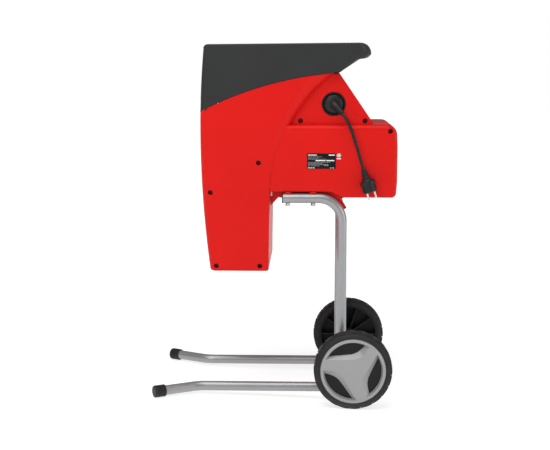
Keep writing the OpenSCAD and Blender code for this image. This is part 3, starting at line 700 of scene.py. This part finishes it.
def crease_start(radius):
    """The angle at which the crease's circle meets the seam, found by halving."""
    low, high = 100.0, 150.0
    for _ in range(40):
        mid = (low + high) / 2
        x = CREASE[0] + radius * math.cos(math.radians(mid))
        z = CREASE[1] + radius * math.sin(math.radians(mid))
        low, high = (mid, high) if z > seam_z(x) else (low, mid)
    return high


# %% the chute body's outline at a depth
VALLEY_DEPTH = 0.0246


def valley(depth, width):
    """The side of the valley: a wide rounded shoulder that ends steeply at the web."""
    share = min(depth / VALLEY_DEPTH, 1.0)
    return width * (1 - math.sqrt(1 - (1 - share) ** 2))


def chute_ring(depth, inset=0.0, top=0.0):
    """The chute body at a depth below its side face; inset and top shape the hollow inside."""
    front = inset + drawn_in(depth, 0.013 - inset)
    edge = inset + drawn_in(depth, 0.0012)
    back = inset + drawn_in(depth, 0.0045)
    low = OUTLET_Z + (0.0 if top else drawn_in(depth, 0.0010)) - top
    foot_top = seam_z(front_x(0.750) + front) - edge + top
    corner = 0.0 if top else 0.005
    ring = [(front_x(low) + front + corner, low), (front_x(low) + front + 0.3 * corner, low + 0.3 * corner)]
    rise = foot_top - low - corner
    ring += [(front_x(z) + front, z) for z in [low + corner + rise * i / 16 for i in range(17)]]
    start = crease_start(CREASE[2] + inset + valley(depth, 0.038))
    last = CREASE[0] + (CREASE[2] + inset + valley(depth, 0.038)) * math.cos(math.radians(start))
    for i in range(1, 16):
        x = front_x(0.750) + front + (last - 0.004 - front_x(0.750) - front) * i / 15
        ring.append((x, seam_z(x) - edge + top))
    for i in range(19):
        share = i / 18
        angle = math.radians(start + (176.4 - start) * share)
        radius = CREASE[2] + inset + valley(depth, 0.038 - 0.030 * share)
        ring.append((CREASE[0] + radius * math.cos(angle), CREASE[1] + radius * math.sin(angle)))
    ring.append((-0.2117 - back - valley(depth, 0.004), 0.540))
    ring.append((-0.2149 - back, 0.485))
    foot = -0.2165 - back
    ring += [(foot, low + corner), (foot - 0.3 * corner, low + 0.3 * corner), (foot - corner, low)]
    return ring


# %% the motor box and the web at a depth
def box_ring(depth, inset=0.0):
    """The motor box: a wide radius on top, a smaller one at the end and a small one below."""
    top = inset + drawn_in(depth, 0.015 - inset)
    end = inset + drawn_in(depth, 0.010 - inset)
    low = inset + drawn_in(depth, 0.006 - inset / 2)
    ring = between((-0.232, 0.547 + low), (-0.062, 0.547 + low), 3)
    ring += [(-0.053, 0.5448 + low), (-0.045, 0.541 + low), (-0.035, 0.5358 + low), (-0.026, 0.5325 + low)]
    ring += between((0.000, 0.5325 + low), (0.080, 0.5325 + low), 2)
    corner = arc(0, 0, 1, -90, -8, 6)
    ring += [(0.096 + (0.0125 - min(end, 0.011)) * c, 0.545 + (0.0125 - low) * s) for c, s in corner]
    ring += between((0.1105 - end, 0.575), (0.1105 - end, 0.660), 3)
    corner = arc(0, 0, 1, 3, 90, 10)
    ring += [(0.082 + (0.027 - end) * c, 0.692 + (0.027 - top) * s) for c, s in corner]
    ring += between((0.060, 0.719 - top), (-0.232, 0.719 - top), 6)
    return ring


def panel_point(along, out=0.0):
    """A point on the sloping panel, a distance along it from its top and a distance out of it."""
    spot = PANEL_TOP + PANEL_DIR * along + PANEL_OUT * out
    return (spot.x, spot.y)


def web_ring(depth, inset=0.0, top=0.0):
    """The recessed web between the chute body, the box and the sloping panel."""
    panel = inset + drawn_in(depth, 0.005)
    edge = inset + drawn_in(depth, 0.0012) - top
    ring = [(-0.228, 0.690)] + between(panel_point(0.178, -panel), panel_point(edge, -panel), 6)
    start = ring[-1][0] - 0.002
    for i in range(1, 12):
        x = start - (start + 0.228) * i / 11
        ring.append((x, seam_z(x) - edge))
    return ring


# %% [markdown]
# One half is lofted as three solids that are fused, and the same three solids drawn in by the
# wall thickness are cut out of it. A half stops at the middle plane, with a fine chamfer
# there that shows as the parting line on the front, the top of the box and the bottom.

# %% lofting a body from its side face to the middle plane
DEPTHS = [0, 0.0004, 0.0012, 0.0024, 0.0040, 0.0062, 0.0090, 0.0125, 0.0165, 0.0205, 0.0234, VALLEY_DEPTH]


def half_body(name, ring_at, half_width, inset=0.0, middle=0.0, **shape):
    """Lofts an outline from the left side face to the middle plane."""
    rings = [across(ring_at(d, inset, **shape), -half_width + inset + d) for d in DEPTHS]
    rings.append(across(ring_at(1, inset, **shape), -0.0006))
    chamfer = 0.0005 if middle == 0 else 0.0
    rings.append(across(ring_at(1, inset + chamfer, **shape), middle))
    return loft(name, rings)


shell = half_body("left_shell_skin", chute_ring, CHUTE_Y)
combine(shell, half_body("box_half", box_ring, BOX_Y), "UNION")
combine(shell, half_body("web_half", web_ring, WEB_Y), "UNION")
hollow = half_body("chute_hollow", chute_ring, CHUTE_Y, WALL, 0.002, top=0.006)
combine(hollow, half_body("box_hollow", box_ring, BOX_Y, WALL, 0.002), "UNION")
combine(hollow, half_body("web_hollow", web_ring, WEB_Y, WALL, 0.002, top=0.006), "UNION")
combine(shell, hollow, "DIFFERENCE")
print("shell half:", len(shell.data.polygons), "faces")

# %% [markdown]
# The half gets what both shells share: a post behind each screw, the room for the hopper's
# knuckles, the cooling slots in the end of the box, and the windows for the switch and the reset
# button in the panel. Then it is mirrored, and each shell gets its own cuts: sunk screw
# holes and the cord's recess on the left, the lock's hole on the right. A cutter with a flared
# mouth leaves a chamfer, so that every hole has the small bright edge of a moulded one.

# %% round tools
def rod(name, x, z, y_from, y_to, radius, steps=40):
    """A round bar across the machine, from one y to another."""
    bar = turned(name, [(0, 0), (radius, 0), (radius, y_to - y_from), (0, y_to - y_from)], steps)
    return placed(bar, Matrix.Translation((x, y_from, z)) @ Matrix.Rotation(-math.pi / 2, 4, "X"))


def sunk_tool(name, x, z, face, depth, radius, flare, steps=40):
    """A cutter for a round recess from the left side, with a flared mouth at the face."""
    profile = [(0, -0.003), (radius + flare * 2, -0.003), (radius + flare, 0.0),
               (radius + flare * 0.3, flare * 0.3), (radius, flare), (radius, depth), (0, depth)]
    inwards = Matrix.Translation((x, face, z)) @ Matrix.Rotation(-math.pi / 2, 4, "X")
    return placed(turned(name, profile, steps), inwards)


def box_solid(name, low, high, rounding=0.0, segments=2):
    """A block between two corners, with all its edges rounded if asked."""
    middle = (Vector(low) + Vector(high)) / 2
    bpy.ops.object.select_all(action="DESELECT")
    bpy.ops.mesh.primitive_cube_add(size=1, location=middle)
    obj = added(name)
    obj.scale = Vector(high) - Vector(low)
    apply_place(obj)
    if rounding:
        apply_modifier(obj, "BEVEL", width=rounding, segments=segments)
    return obj


def at_panel(along, y=0.0):
    """A matrix that stands +Z on the sloping panel, at a distance down it."""
    x, z = panel_point(along)
    tilt = math.pi / 2 - math.atan2(PANEL_OUT.y, PANEL_OUT.x)
    return Matrix.Translation((x, y, z)) @ Matrix.Rotation(tilt, 4, "Y")


# %% posts, knuckle room, slots and windows
PLATE_HALF = 0.112
SCREWS = [
    (-0.136, 0.727, WEB_Y, 0), (0.028, 0.727, WEB_Y, 0), (0.091, 0.702, BOX_Y, 0),
    (-0.242, 0.6215, CHUTE_Y, PLATE_HALF), (-0.365, 0.5455, CHUTE_Y, 0),
    (-0.351, 0.356, CHUTE_Y, 0), (-0.239, 0.356, CHUTE_Y, 0),
]
posts = joined([rod("post", x, z, -face + 0.0015, -end, 0.0084) for x, z, face, end in SCREWS], "posts")
combine(shell, posts, "UNION")
KNUCKLE_R = 0.004
combine(shell, rod("knuckle_room", *HINGE, -0.1405, 0.001, KNUCKLE_R + 0.0004), "DIFFERENCE")
slots = [box_solid("slot", (0.0985, -0.092, 0.570 + 0.015 * i), (0.1155, 0.001, 0.576 + 0.015 * i), 0.0026, 4)
         for i in range(8)]
slots = joined(slots, "slots")
combine(shell, slots, "DIFFERENCE")
window = box_solid("window", (-0.027, -0.038, -0.012), (0.027, 0.038, 0.012), 0.003, 4)
combine(shell, placed(window, at_panel(0.084)), "DIFFERENCE")
reset_hole = turned("reset_hole", [(0, -0.012), (0.0073, -0.012), (0.0073, -0.001), (0.0083, 0.0002),
                                   (0.0083, 0.004), (0, 0.004)], 48)
combine(shell, placed(reset_hole, at_panel(0.136)), "DIFFERENCE")
print("shared cuts made:", len(shell.data.polygons), "faces")

# %% the hinge lugs
lug = rod("lug_eye", *HINGE, -0.095, -0.055, KNUCKLE_R)
lug_arm = box_solid("lug_arm", (HINGE[0] - 0.003, -0.095, 0.742), (HINGE[0] + 0.001, -0.055, 0.751), 0.0008)
combine(lug, lug_arm, "UNION")
combine(lug, rod("lug_bore", *HINGE, -0.1, -0.05, 0.002), "DIFFERENCE")
combine(shell, lug, "UNION")

# %% [markdown]
# The right half is the left half's mirror image, taken before the cuts that belong to one side.
# The left half then gets a thin raised ring round the cord's recess, the recess and the screw
# holes. The right half gets only the hole for the lock's stud.

# %% the right shell is the mirrored half
right_shell = mirrored(shell, "right_shell_skin")

# %% cuts of the left shell
collar = turned("gland_collar", [(0.0290, -0.0012), (0.0352, -0.0012), (0.0346, 0.0004), (0.0334, 0.0009),
                                 (0.0318, 0.0009), (0.0306, 0.0002), (0.0300, -0.0012)], 96)
combine(shell, placed(collar, on_y(GLAND.x, -WEB_Y, GLAND.z)), "UNION")
combine(shell, sunk_tool("gland_cut", GLAND.x, GLAND.z, -WEB_Y, 0.012, 0.0303, 0.0010, 96), "DIFFERENCE")
for x, z, face, end in SCREWS:
    combine(shell, sunk_tool("screw_cut", x, z, -face, 0.024, 0.0062, 0.0010), "DIFFERENCE")
settle(shell, 34)
stand_for(shell, "machine", "red_housing", "left_shell")

# %% cuts of the right shell
KNOB = (-0.062, 0.815)
lock_hole = sunk_tool("lock_hole", KNOB[0], KNOB[1], -WEB_Y, 0.012, 0.0055, 0.0008)
lock_hole = mirrored(lock_hole, "lock_hole_right")
combine(right_shell, lock_hole, "DIFFERENCE")
settle(right_shell, 34)
stand_for(right_shell, "machine", "red_housing", "right_shell")
for spare in [o for o in bpy.data.objects if o.name.startswith("lock_hole")]:
    bpy.data.objects.remove(spare, do_unlink=True)

# %% [markdown]
# ## The hopper
# The black hopper is one moulding with a large open mouth. Its nose sticks out over the sloping
# panel and is the handle by which the machine is tipped and pulled, so the nose carries grip
# ribs. The outline is lofted across the whole width with radii of its own: small ones on
# the rim, a bigger one down the front corners and a very big one round the nose.

# %% the hopper's outline at a depth
NOSE = (0.0155, 0.897)
NOSE_R = 0.026


def hopper_ring(depth, inset=0.0, top=0.0):
    """The hopper at a depth below its side face; top drops the hollow's lower edge."""
    front = inset + drawn_in(depth, 0.014 - inset)
    rim = inset + drawn_in(depth, 0.0042)
    nose = inset + drawn_in(depth, 0.033 - inset)
    under = inset + drawn_in(depth, 0.0065)
    seam = drawn_in(depth, 0.0008)
    low = HINGE[1] - top
    ring = [(front_x(z) + front, z) for z in [low + (0.909 - low) * i / 12 for i in range(13)]]
    ring += [(-0.3696 + (0.012 - min(front, 0.0115)) * c + front - min(front, 0.0115),
              0.9075 + (0.012 - rim) * s) for c, s in arc(0, 0, 1, 172, 94, 7)]
    ring += between((-0.340, 0.9197 - rim), (-0.020 - nose * 0.5, 0.9227 - rim), 4)
    for c, s in arc(0, 0, 1, 92, -8, 16):
        squeeze = rim if s > 0 else rim + (under - rim) * min(1, -s * 6)
        ring.append((NOSE[0] + NOSE_R * c - nose * max(0.25, c), NOSE[1] + (NOSE_R - squeeze) * s))
    ring.append((0.0345 - nose * 0.9, 0.8865 + under * 0.7))
    ring.append((0.026 - nose * 0.75, 0.8838 + under * 0.9))
    ring.append((0.013 - nose * 0.55, 0.882 + under))
    start = (PANEL_TOP.x + 0.0004 - under * 0.6, PANEL_TOP.y + 0.0014 + under * 0.9 + seam)
    ring += between((0.000 - nose * 0.35, 0.8735 + under), start, 4)
    end = HINGE[0] + inset * 2 + 0.004 + front
    for i in range(1, 25):
        x = start[0] - 0.002 + (end - start[0] + 0.002) * i / 24
        ring.append((x, seam_z(x) + 0.0008 + seam - top))
    return ring


HOPPER_DEPTHS = [0, 0.0003, 0.0010, 0.0020, 0.0034, 0.0052, 0.0076, 0.0106, 0.0142, 0.0190, 0.0255, 0.0330]


def hopper_body(name, inset=0.0, top=0.0):
    """Lofts the hopper from its left side face to its right one."""
    left = [across(hopper_ring(d, inset, top), -CHUTE_Y + inset + d) for d in HOPPER_DEPTHS]
    right = [across(hopper_ring(d, inset, top), CHUTE_Y - inset - d) for d in reversed(HOPPER_DEPTHS)]
    return loft(name, left + right)


hopper = hopper_body("hopper_skin")
combine(hopper, hopper_body("hopper_hollow", WALL, 0.008), "DIFFERENCE")
print("hopper body:", len(hopper.data.polygons), "faces")


# %% [markdown]
# The mouth is cut with a tool that is a loft too: rounded rectangles that widen towards the top,
# so the lip rolls over softly into the funnel below.

# %% the mouth
def rounded_rectangle(low, high, radius, z, grow=0.0):
    """A ring of points round a rectangle with round corners, at one height."""
    x0, y0, x1, y1 = low[0] - grow, low[1] - grow, high[0] + grow, high[1] + grow
    ring = []
    for cx, cy, start in ((x1, y1, 0), (x0, y1, 90), (x0, y0, 180), (x1, y0, 270)):
        sx = -1 if cx == x1 else 1
        sy = -1 if cy == y1 else 1
        for c, s in arc(cx + sx * radius, cy + sy * radius, radius, start, start + 90, 6):
            ring.append((c, s, z))
    return ring


MOUTH = ((-0.370, -0.132), (-0.022, 0.132))
lip = [(0.880, 0.0), (0.9155, 0.0), (0.9175, 0.0006), (0.9190, 0.0018), (0.9203, 0.0036),
       (0.9240, 0.0075), (0.940, 0.016)]
mouth = loft("mouth", [rounded_rectangle(*MOUTH, 0.012 + grow, z, grow) for z, grow in lip])
combine(hopper, mouth, "DIFFERENCE")

# %% the knuckles of the hinge
knuckles = joined([rod("knuckle", *HINGE, a, b, KNUCKLE_R, 32)
                   for a, b in ((-0.131, -0.0955), (-0.0545, 0.0545), (0.0955, 0.131))], "knuckles")
combine(hopper, knuckles, "UNION")
combine(hopper, rod("pin_bore", *HINGE, -0.2, 0.2, 0.00206, 32), "DIFFERENCE")
for side in (-1, 1):
    low, high = sorted((side * 0.0955, side * 0.0545))
    combine(hopper, rod("lug_room", *HINGE, low, high, KNUCKLE_R + 0.0006, 32), "DIFFERENCE")


# %% [markdown]
# The grip ribs run level round the nose. Each rib is a bevelled curve that follows the nose's
# own plan at its height, made a mesh and fused with the moulding.

# %% the grip ribs on the nose
def nose_rib(z, thick):
    """A half-round rib that follows the nose's plan at one height."""
    rise = (z - NOSE[1]) / NOSE_R
    reach = NOSE[0] + NOSE_R * math.sqrt(max(0.0, 1 - rise * rise))
    left = []
    for depth in (0.0038, 0.0048, 0.0062, 0.0082, 0.0106, 0.0142, 0.0190, 0.0255, 0.0330):
        left.append((reach - drawn_in(depth, 0.033), -CHUTE_Y + depth))
    path = left + [(reach, -0.06), (reach, 0.0), (reach, 0.06)] + [(x, -y) for x, y in reversed(left)]
    curve = bpy.data.curves.new("nose_rib", "CURVE")
    curve.dimensions = "3D"
    curve.bevel_depth = thick
    curve.bevel_resolution = 3
    curve.use_fill_caps = True
    spline = curve.splines.new("POLY")
    spline.points.add(len(path) - 1)
    for point, (x, y) in zip(spline.points, path):
        point.co = (x - thick * 0.35, y, z, 1)
    rib = bpy.data.objects.new("nose_rib", curve)
    bpy.context.collection.objects.link(rib)
    only(rib)
    bpy.ops.object.convert(target="MESH")
    return tidy_faces(bpy.context.object)


for z in (0.9170, 0.9118, 0.9066, 0.9014, 0.8962):
    combine(hopper, nose_rib(z, 0.0013), "UNION")
settle(hopper, 34)
stand_for(hopper, "hopper_lid", "black_hopper", "hopper")

# %% [markdown]
# The funnel inside the mouth is a thin moulding whose four walls slope to the throat. Its CAD
# shape is right, so a copy of it only gets its corners and its rim rounded.

# %% the funnel
stand_for(softened("feed_funnel", 0.0011), "hopper_lid", "black_hopper", "feed_funnel")

# %% [markdown]
# ## The wheels
# A wheel is a black plastic rim, a hard rubber tyre and a silver cover with three wide windows.
# The tyre is a turned ring. Its lugs are made the way a mould makes them: patches of the tread
# are raised from the ring by an inset with depth, row by row and each row shifted by a step, so the
# edge of the tread runs in a wave. The lugs keep the outer radius that the CAD tyre has.

# %% the tyre
WHEEL_Y = -joints["left_wheel_spin"]["pos_m"][1]
TYRE_HALF = 0.023
LUG_RISE = 0.0026
LUG_STEPS = 120
base_r = wheel_r - LUG_RISE
tyre_profile = [
    (0.0840, -TYRE_HALF), (0.0880, -TYRE_HALF), (0.0905, -TYRE_HALF + 0.0004),
    (0.0930, -TYRE_HALF + 0.0014), (0.0950, -TYRE_HALF + 0.0032), (0.0963, -TYRE_HALF + 0.0056),
    (base_r - 0.0003, -0.0140), (base_r, -0.0070), (base_r, 0.0000), (base_r, 0.0070),
    (base_r - 0.0003, 0.0140), (0.0963, TYRE_HALF - 0.0056),
    (0.0950, TYRE_HALF - 0.0032), (0.0930, TYRE_HALF - 0.0014), (0.0905, TYRE_HALF - 0.0004),
    (0.0880, TYRE_HALF), (0.0840, TYRE_HALF),
]
tyre = turned("left_tyre_tread", tyre_profile, LUG_STEPS)
ROWS = ((-0.0165, 0), (-0.0105, 1), (-0.0035, 2), (0.0035, 1), (0.0105, 2), (0.0165, 0))


def in_lug(face):
    """True for the tread faces that stand up as lugs: four steps on, two off, shifted by row."""
    if math.hypot(face.center.x, face.center.y) < 0.0955:
        return False
    row = min(ROWS, key=lambda r: abs(r[0] - face.center.z))
    step = math.atan2(face.center.y, face.center.x) / math.tau * LUG_STEPS
    return (int(math.floor(step)) + row[1]) % 6 < 4


only(tyre)
bpy.ops.object.mode_set(mode="EDIT")
bpy.ops.mesh.select_mode(type="FACE")
bpy.ops.mesh.select_all(action="DESELECT")
bpy.ops.object.mode_set(mode="OBJECT")
for face in tyre.data.polygons:
    face.select = in_lug(face)
bpy.ops.object.mode_set(mode="EDIT")
bpy.ops.mesh.inset(thickness=0.0009, depth=LUG_RISE, use_individual=False, use_even_offset=True)
bpy.ops.object.mode_set(mode="OBJECT")
reach = max(math.hypot(v.co.x, v.co.y) for v in tyre.data.vertices)
print("tyre reaches", round(reach * 1000, 2), "mm")

# %% [markdown]
# The sidewall carries a fine raised band, as moulded tyres do. It is its own ring, fused on both
# sides.

# %% the sidewall bands
for side in (-1, 1):
    face = side * (TYRE_HALF - 0.0004)
    band = turned("sidewall_band", [(0.0872, face), (0.0898, face), (0.0892, face + side * 0.0004),
                                    (0.0878, face + side * 0.0004)], 96)
    tyre = joined([tyre, band], "left_tyre_tread")


def on_both_wheels(obj, right_name, paint, node, degrees):
    """Puts a piece on the left wheel and its mirror image on the right one."""
    twin = copy_of(obj, right_name)
    placed(obj, on_y(0, -WHEEL_Y, wheel_r))
    placed(twin, Matrix.Scale(-1, 4, (0, 1, 0)) @ on_y(0, -WHEEL_Y, wheel_r))
    tidy_faces(twin)
    stand_for(settle(obj, degrees), "left_wheel", paint, "left_" + node)
    stand_for(settle(twin, degrees), "right_wheel", paint, "right_" + node)


on_both_wheels(tyre, "right_tyre_tread", "tyre_black", "tyre", 30)

# %% [markdown]
# The cover is turned as a shallow dish with a rolled outer ring. Each window is then cut with a
# loft: narrow at the back, wide at the front, so its walls are slopes. A window is straight along
# one spoke and sweeps up along the other, which gives the wheel its turning look. The front
# edge gets one more step of rounding, which is the fine bright line on a real cover.

# %% the dish
COVER_R = 0.0838
COVER_BACK = -TYRE_HALF + 0.0118
COVER_FRONT = -0.0232
dish_profile = [
    (0.0174, COVER_BACK), (COVER_R, COVER_BACK), (COVER_R, COVER_FRONT + 0.0030),
    (COVER_R - 0.0008, COVER_FRONT + 0.0012), (COVER_R - 0.0024, COVER_FRONT + 0.0002),
    (COVER_R - 0.0045, COVER_FRONT), (0.0762, COVER_FRONT + 0.0003), (0.0730, COVER_FRONT + 0.0009),
    (0.0600, COVER_FRONT + 0.0012), (0.0300, COVER_FRONT + 0.0010), (0.0, COVER_FRONT + 0.0008),
    (0.0, -0.0204), (0.0098, -0.0204), (0.0100, -0.0173), (0.0174, -0.0173),
]
cover = turned("left_hub_trim", [(r, -z) for r, z in reversed(dish_profile)], 96)


# %% the windows
FRONT_EDGE = [(-0.045, 0.0295), (-0.020, 0.0296), (0.0, 0.0299), (0.008, 0.0303), (0.0155, 0.0330),
              (0.0220, 0.0376), (0.0275, 0.0440)]
BACK_EDGE = [(-0.045, 0.0390), (-0.022, 0.0408), (-0.004, 0.0430), (0.003, 0.0452), (0.010, 0.0484),
             (0.0155, 0.0524), (0.0205, 0.0568)]


def window_ring(height, share):
    """One window's outline at a height: share 0 is its narrow back edge, 1 its wide front edge."""
    ring = arc(0, 0, 0.0722 + 0.0031 * share, 65.5 - 8.1 * share, 149 + 7.8 * share, 18)
    for back, front in zip(BACK_EDGE, FRONT_EDGE):
        ring.append((back[0] + (front[0] - back[0]) * share, back[1] + (front[1] - back[1]) * share))
    return [(x, y, height) for x, y in ring]


levels = [(0.0060, 0), (0.0122, 0), (0.0140, 0.05), (0.0212, 0.86), (0.0219, 0.92),
          (0.0224, 0.99), (0.0250, 1.3)]
for k in range(3):
    cutter = loft("cover_window", [window_ring(*level) for level in levels])
    combine(cover, placed(cutter, Matrix.Rotation(math.tau * k / 3, 4, "Z")), "DIFFERENCE")
print("cover:", len(cover.data.polygons), "faces")
on_both_wheels(cover, "right_hub_trim", "wheel_silver", "hub_cover", 26)

# %% [markdown]
# ## The feet
# Each leg ends in a rubber cap. It is turned about the leg's splayed end, with grip grooves
# round it and a domed tip. The leg's end is found from the CAD cap's own box: its middle
# gives the place, and the splay angle is that of the tube's tail.

# %% the foot caps
SPLAY = math.radians(29)
CAP_R = 0.0155
CAP_L = 0.030
BORE_R = 0.01255
CAP_PITCH = 0.0040
CAP_GROOVE = 0.0009
cap_profile = [(BORE_R, 0), (CAP_R - 0.0009, 0), (CAP_R - 0.0002, 0.0006), (CAP_R, 0.0014)]
for k in range(5):
    at = 0.0046 + CAP_PITCH * k
    floor_r = CAP_R - CAP_GROOVE
    cap_profile += [(CAP_R, at), (floor_r, at + 0.0005), (floor_r, at + 0.0014), (CAP_R, at + 0.0019)]
cap_profile += arc(CAP_R - 0.0030, CAP_L - 0.0030, 0.0030, 0, 90, 5)
cap_profile += [(0.006, CAP_L), (0, CAP_L), (0, CAP_L - 0.0039), (BORE_R, CAP_L - 0.0039)]
for side, name in ((-1, "left_foot_cap"), (1, "right_foot_cap")):
    low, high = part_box(name)
    middle = (low + high) / 2
    level_middle = LEAN.inverted() @ middle
    cap = turned(name + "_rubber", cap_profile, 64)
    placed(cap, Matrix.Translation((0, 0, -CAP_L / 2)))
    turn = Vector((-math.cos(SPLAY), side * math.sin(SPLAY), 0)).to_track_quat("Z", "Y")
    placed(cap, Matrix.Translation(level_middle) @ turn.to_matrix().to_4x4())
    stand_for(settle(cap, 30), "machine", "foot_rubber", name)

# %% [markdown]
# ## The plate, the switch and the lock
# The rating plate is a printed film on a thin backing. It carries generic bars and boxes where a
# real one has its print, because a plate without any print looks unfinished and the print itself
# belongs to nobody's design here. The bars are thin raised films of their own.

# %% the rating plate
PLATE_X = (-0.119, -0.046)
PLATE_Z = (0.6065, 0.6455)
plate_low = (PLATE_X[0], -BOX_Y - 0.0006, PLATE_Z[0])
plate_high = (PLATE_X[1], -BOX_Y, PLATE_Z[1])
plate = box_solid("rating_film", plate_low, plate_high, 0.0002)
stand_for(settle(plate), "machine", "label_black", "rating_plate")
PAINT["print_white"] = surface("print_white", (0.78, 0.78, 0.77), 0.42, drift=0.04, grain=500, depth=0.03)
PAINT["print_grey"] = surface("print_grey", (0.24, 0.24, 0.24), 0.42, drift=0.08, grain=500, depth=0.03)
PAINT["seal_film"] = surface("seal_film", (0.42, 0.55, 0.50), 0.25, drift=0.25, grain=300,
                             depth=0.05, cloud=220)


def film(name, x0, x1, z0, z1, proud=0.00015, back=0.0006):
    """A thin film on the left side of the motor box."""
    return box_solid(name, (x0, -BOX_Y - back - proud, z0), (x1, -BOX_Y - back + 0.00005, z1))


white = [film("bar", -0.0975, -0.0725, 0.6262, 0.6288), film("bar", -0.0700, -0.0500, 0.6262, 0.6288)]
white += [film("bar", -0.1165, -0.0940, 0.6405, 0.6425), film("bar", -0.0640, -0.0490, 0.6402, 0.6428)]
white += [film("bar", -0.1165 + 0.0060 * i, -0.1122 + 0.0060 * i, 0.6080, 0.6098) for i in range(3)]
white += [film("bar", -0.0600 + 0.0036 * i, -0.0580 + 0.0036 * i, 0.6080, 0.6096) for i in range(3)]
stand_for(settle(joined(white, "plate_print_white")), "machine", "print_white", slot="label_black")
grey = []
PRINT_LEFT = -0.1165
DASH_ROWS = [(0.6365, -0.0800), (0.6335, -0.0900), (0.6305, -0.0700), (0.6225, -0.0600),
             (0.6195, -0.0780), (0.6165, -0.0660), (0.6135, -0.0880)]
for row, (z, end) in enumerate(DASH_ROWS):
    x = PRINT_LEFT
    while x < end:
        length = 0.0035 + 0.0022 * ((row * 5 + round(x * 1000)) % 3)
        grey.append(film("dash", x, min(x + length, end), z, z + 0.0011))
        x += length + 0.0012
for x, z in ((-0.0750, 0.6140), (-0.0690, 0.6140)):
    grey.append(film("mark", x, x + 0.0038, z, z + 0.0044))
stand_for(settle(joined(grey, "plate_print_grey")), "machine", "print_grey", slot="label_black")

# %% the round seal beside the plate
seal = turned("seal_disc", [(0, 0), (0.0052, 0), (0.0052, 0.00025), (0, 0.00025)], 48)
placed(seal, on_y(-0.0385, -BOX_Y + 0.00002, 0.6405))
stand_for(settle(seal), "machine", "seal_film", slot="label_black")
strip = film("seal_strip", -0.0440, -0.0330, 0.6310, 0.6334, 0.0002, 0.0)
stand_for(settle(strip), "machine", "print_white", slot="label_black")

# %% [markdown]
# The switch is a sunk black frame with two square keys, green to start and red to stop. The keys
# have dished faces with a raised mark: a bar for on and a ring for off. The frame, the glands and
# the other small mouldings are copies of their CAD nodes with rounded edges.

# %% the small mouldings with rounded edges
SOFT = [
    ("switch_plate", "machine", "black_trim", 0.0007), ("cable_gland", "machine", "black_trim", 0.0006),
    ("tube_saddles", "machine", "red_housing", 0.0006), ("tube_end_plugs", "machine", "black_trim", 0.0007),
    ("axle_spacers", "machine", "black_trim", 0.0005), ("axle_caps", "machine", "zinc", 0.0004),
    ("left_rim", "left_wheel", "black_trim", 0.0004), ("right_rim", "right_wheel", "black_trim", 0.0004),
    ("strut_bolts", "machine", "zinc", 0.0004), ("frame_screws", "machine", "zinc", 0.0003),
    ("frame_nuts", "machine", "zinc", 0.0003), ("throat_liner", "machine", "black_hopper", 0.0008),
    ("interlock_switch", "machine", "black_trim", 0.0006), ("bearing_plate", "machine", "cast_alloy", 0.0010),
    ("motor_housing", "machine", "black_trim", 0.0010), ("lock_tongue", "hopper_lid", "zinc", 0.0004),
    ("left_axle_bracket", "machine", "frame_silver", 0.0004),
    ("right_axle_bracket", "machine", "frame_silver", 0.0004),
]
for name, body, paint, width in SOFT:
    stand_for(softened(name, width), body, paint, name)


# %% the start and stop keys
def key(name, y, body, paint, node_name, mark):
    """A square key with a dished face, standing in the switch frame."""
    block = box_solid(name, (-0.0125, y - 0.011, -0.013), (0.0125, y + 0.011, 0.0005), 0.0009, 3)
    bpy.ops.object.select_all(action="DESELECT")
    bpy.ops.mesh.primitive_uv_sphere_add(segments=64, ring_count=32, radius=0.060, location=(0, y, 0.0592))
    combine(block, added("dish"), "DIFFERENCE")
    combine(block, mark, "UNION")
    placed(block, at_panel(0.084))
    return stand_for(settle(block, 30), body, paint, node_name)


bar_mark = box_solid("on_mark", (-0.0045, -0.0158, -0.004), (0.0045, -0.0142, 0.0001), 0.0003)
ring_mark = turned("off_mark", [(0.0030, -0.004), (0.0044, -0.004), (0.0044, 0.0000), (0.0030, 0.0000)], 40)
placed(ring_mark, Matrix.Translation((0, 0.015, 0)))
key("start_key_cap", -0.015, "start_key", "start_green", "start_button", bar_mark)
key("stop_key_cap", 0.015, "stop_key", "stop_red", "stop_button", ring_mark)
reset = turned("reset_key_cap", [(0, -0.007), (0.0065, -0.007), (0.0065, 0.0002), (0.0060, 0.0008),
                                 (0.0050, 0.0010), (0.0035, 0.0007), (0, 0.0004)], 48)
placed(reset, at_panel(0.136))
stand_for(settle(reset, 30), "reset_key", "black_trim", "reset_button")

# %% [markdown]
# The lock is a hand knob with five lobes on the far side. It screws the hopper's tongue against
# the shell, and the motor can't start while it is loose. A knob is a turned body with lobes:
# the lobes are round bars fused to it, and one bevel rounds all their edges.

# %% the lock knob
knob = turned("lock_hand_knob", [(0, 0), (0.011, 0), (0.011, 0.0195), (0.0100, 0.0200), (0, 0.0205)], 48)
for k in range(5):
    lobe = turned("lobe", [(0, 0.006), (0.0055, 0.006), (0.0055, 0.019), (0, 0.019)], 32)
    placed(lobe, Matrix.Rotation(math.tau * k / 5, 4, "Z") @ Matrix.Translation((0.010, 0, 0)))
    combine(knob, lobe, "UNION")
stud_hole = turned("stud_hole", [(0, -0.001), (0.0046, -0.001), (0.0046, 0.0035), (0, 0.0035)], 32)
combine(knob, stud_hole, "DIFFERENCE")
apply_modifier(knob, "BEVEL", width=0.0008, segments=2, limit_method="ANGLE", angle_limit=math.radians(50))
placed(knob, Matrix.Translation((KNOB[0], WEB_Y + 0.0005, KNOB[1])) @ Matrix.Rotation(-math.pi / 2, 4, "X"))
stand_for(settle(knob, 30), "lock_screw", "black_trim", "lock_knob")
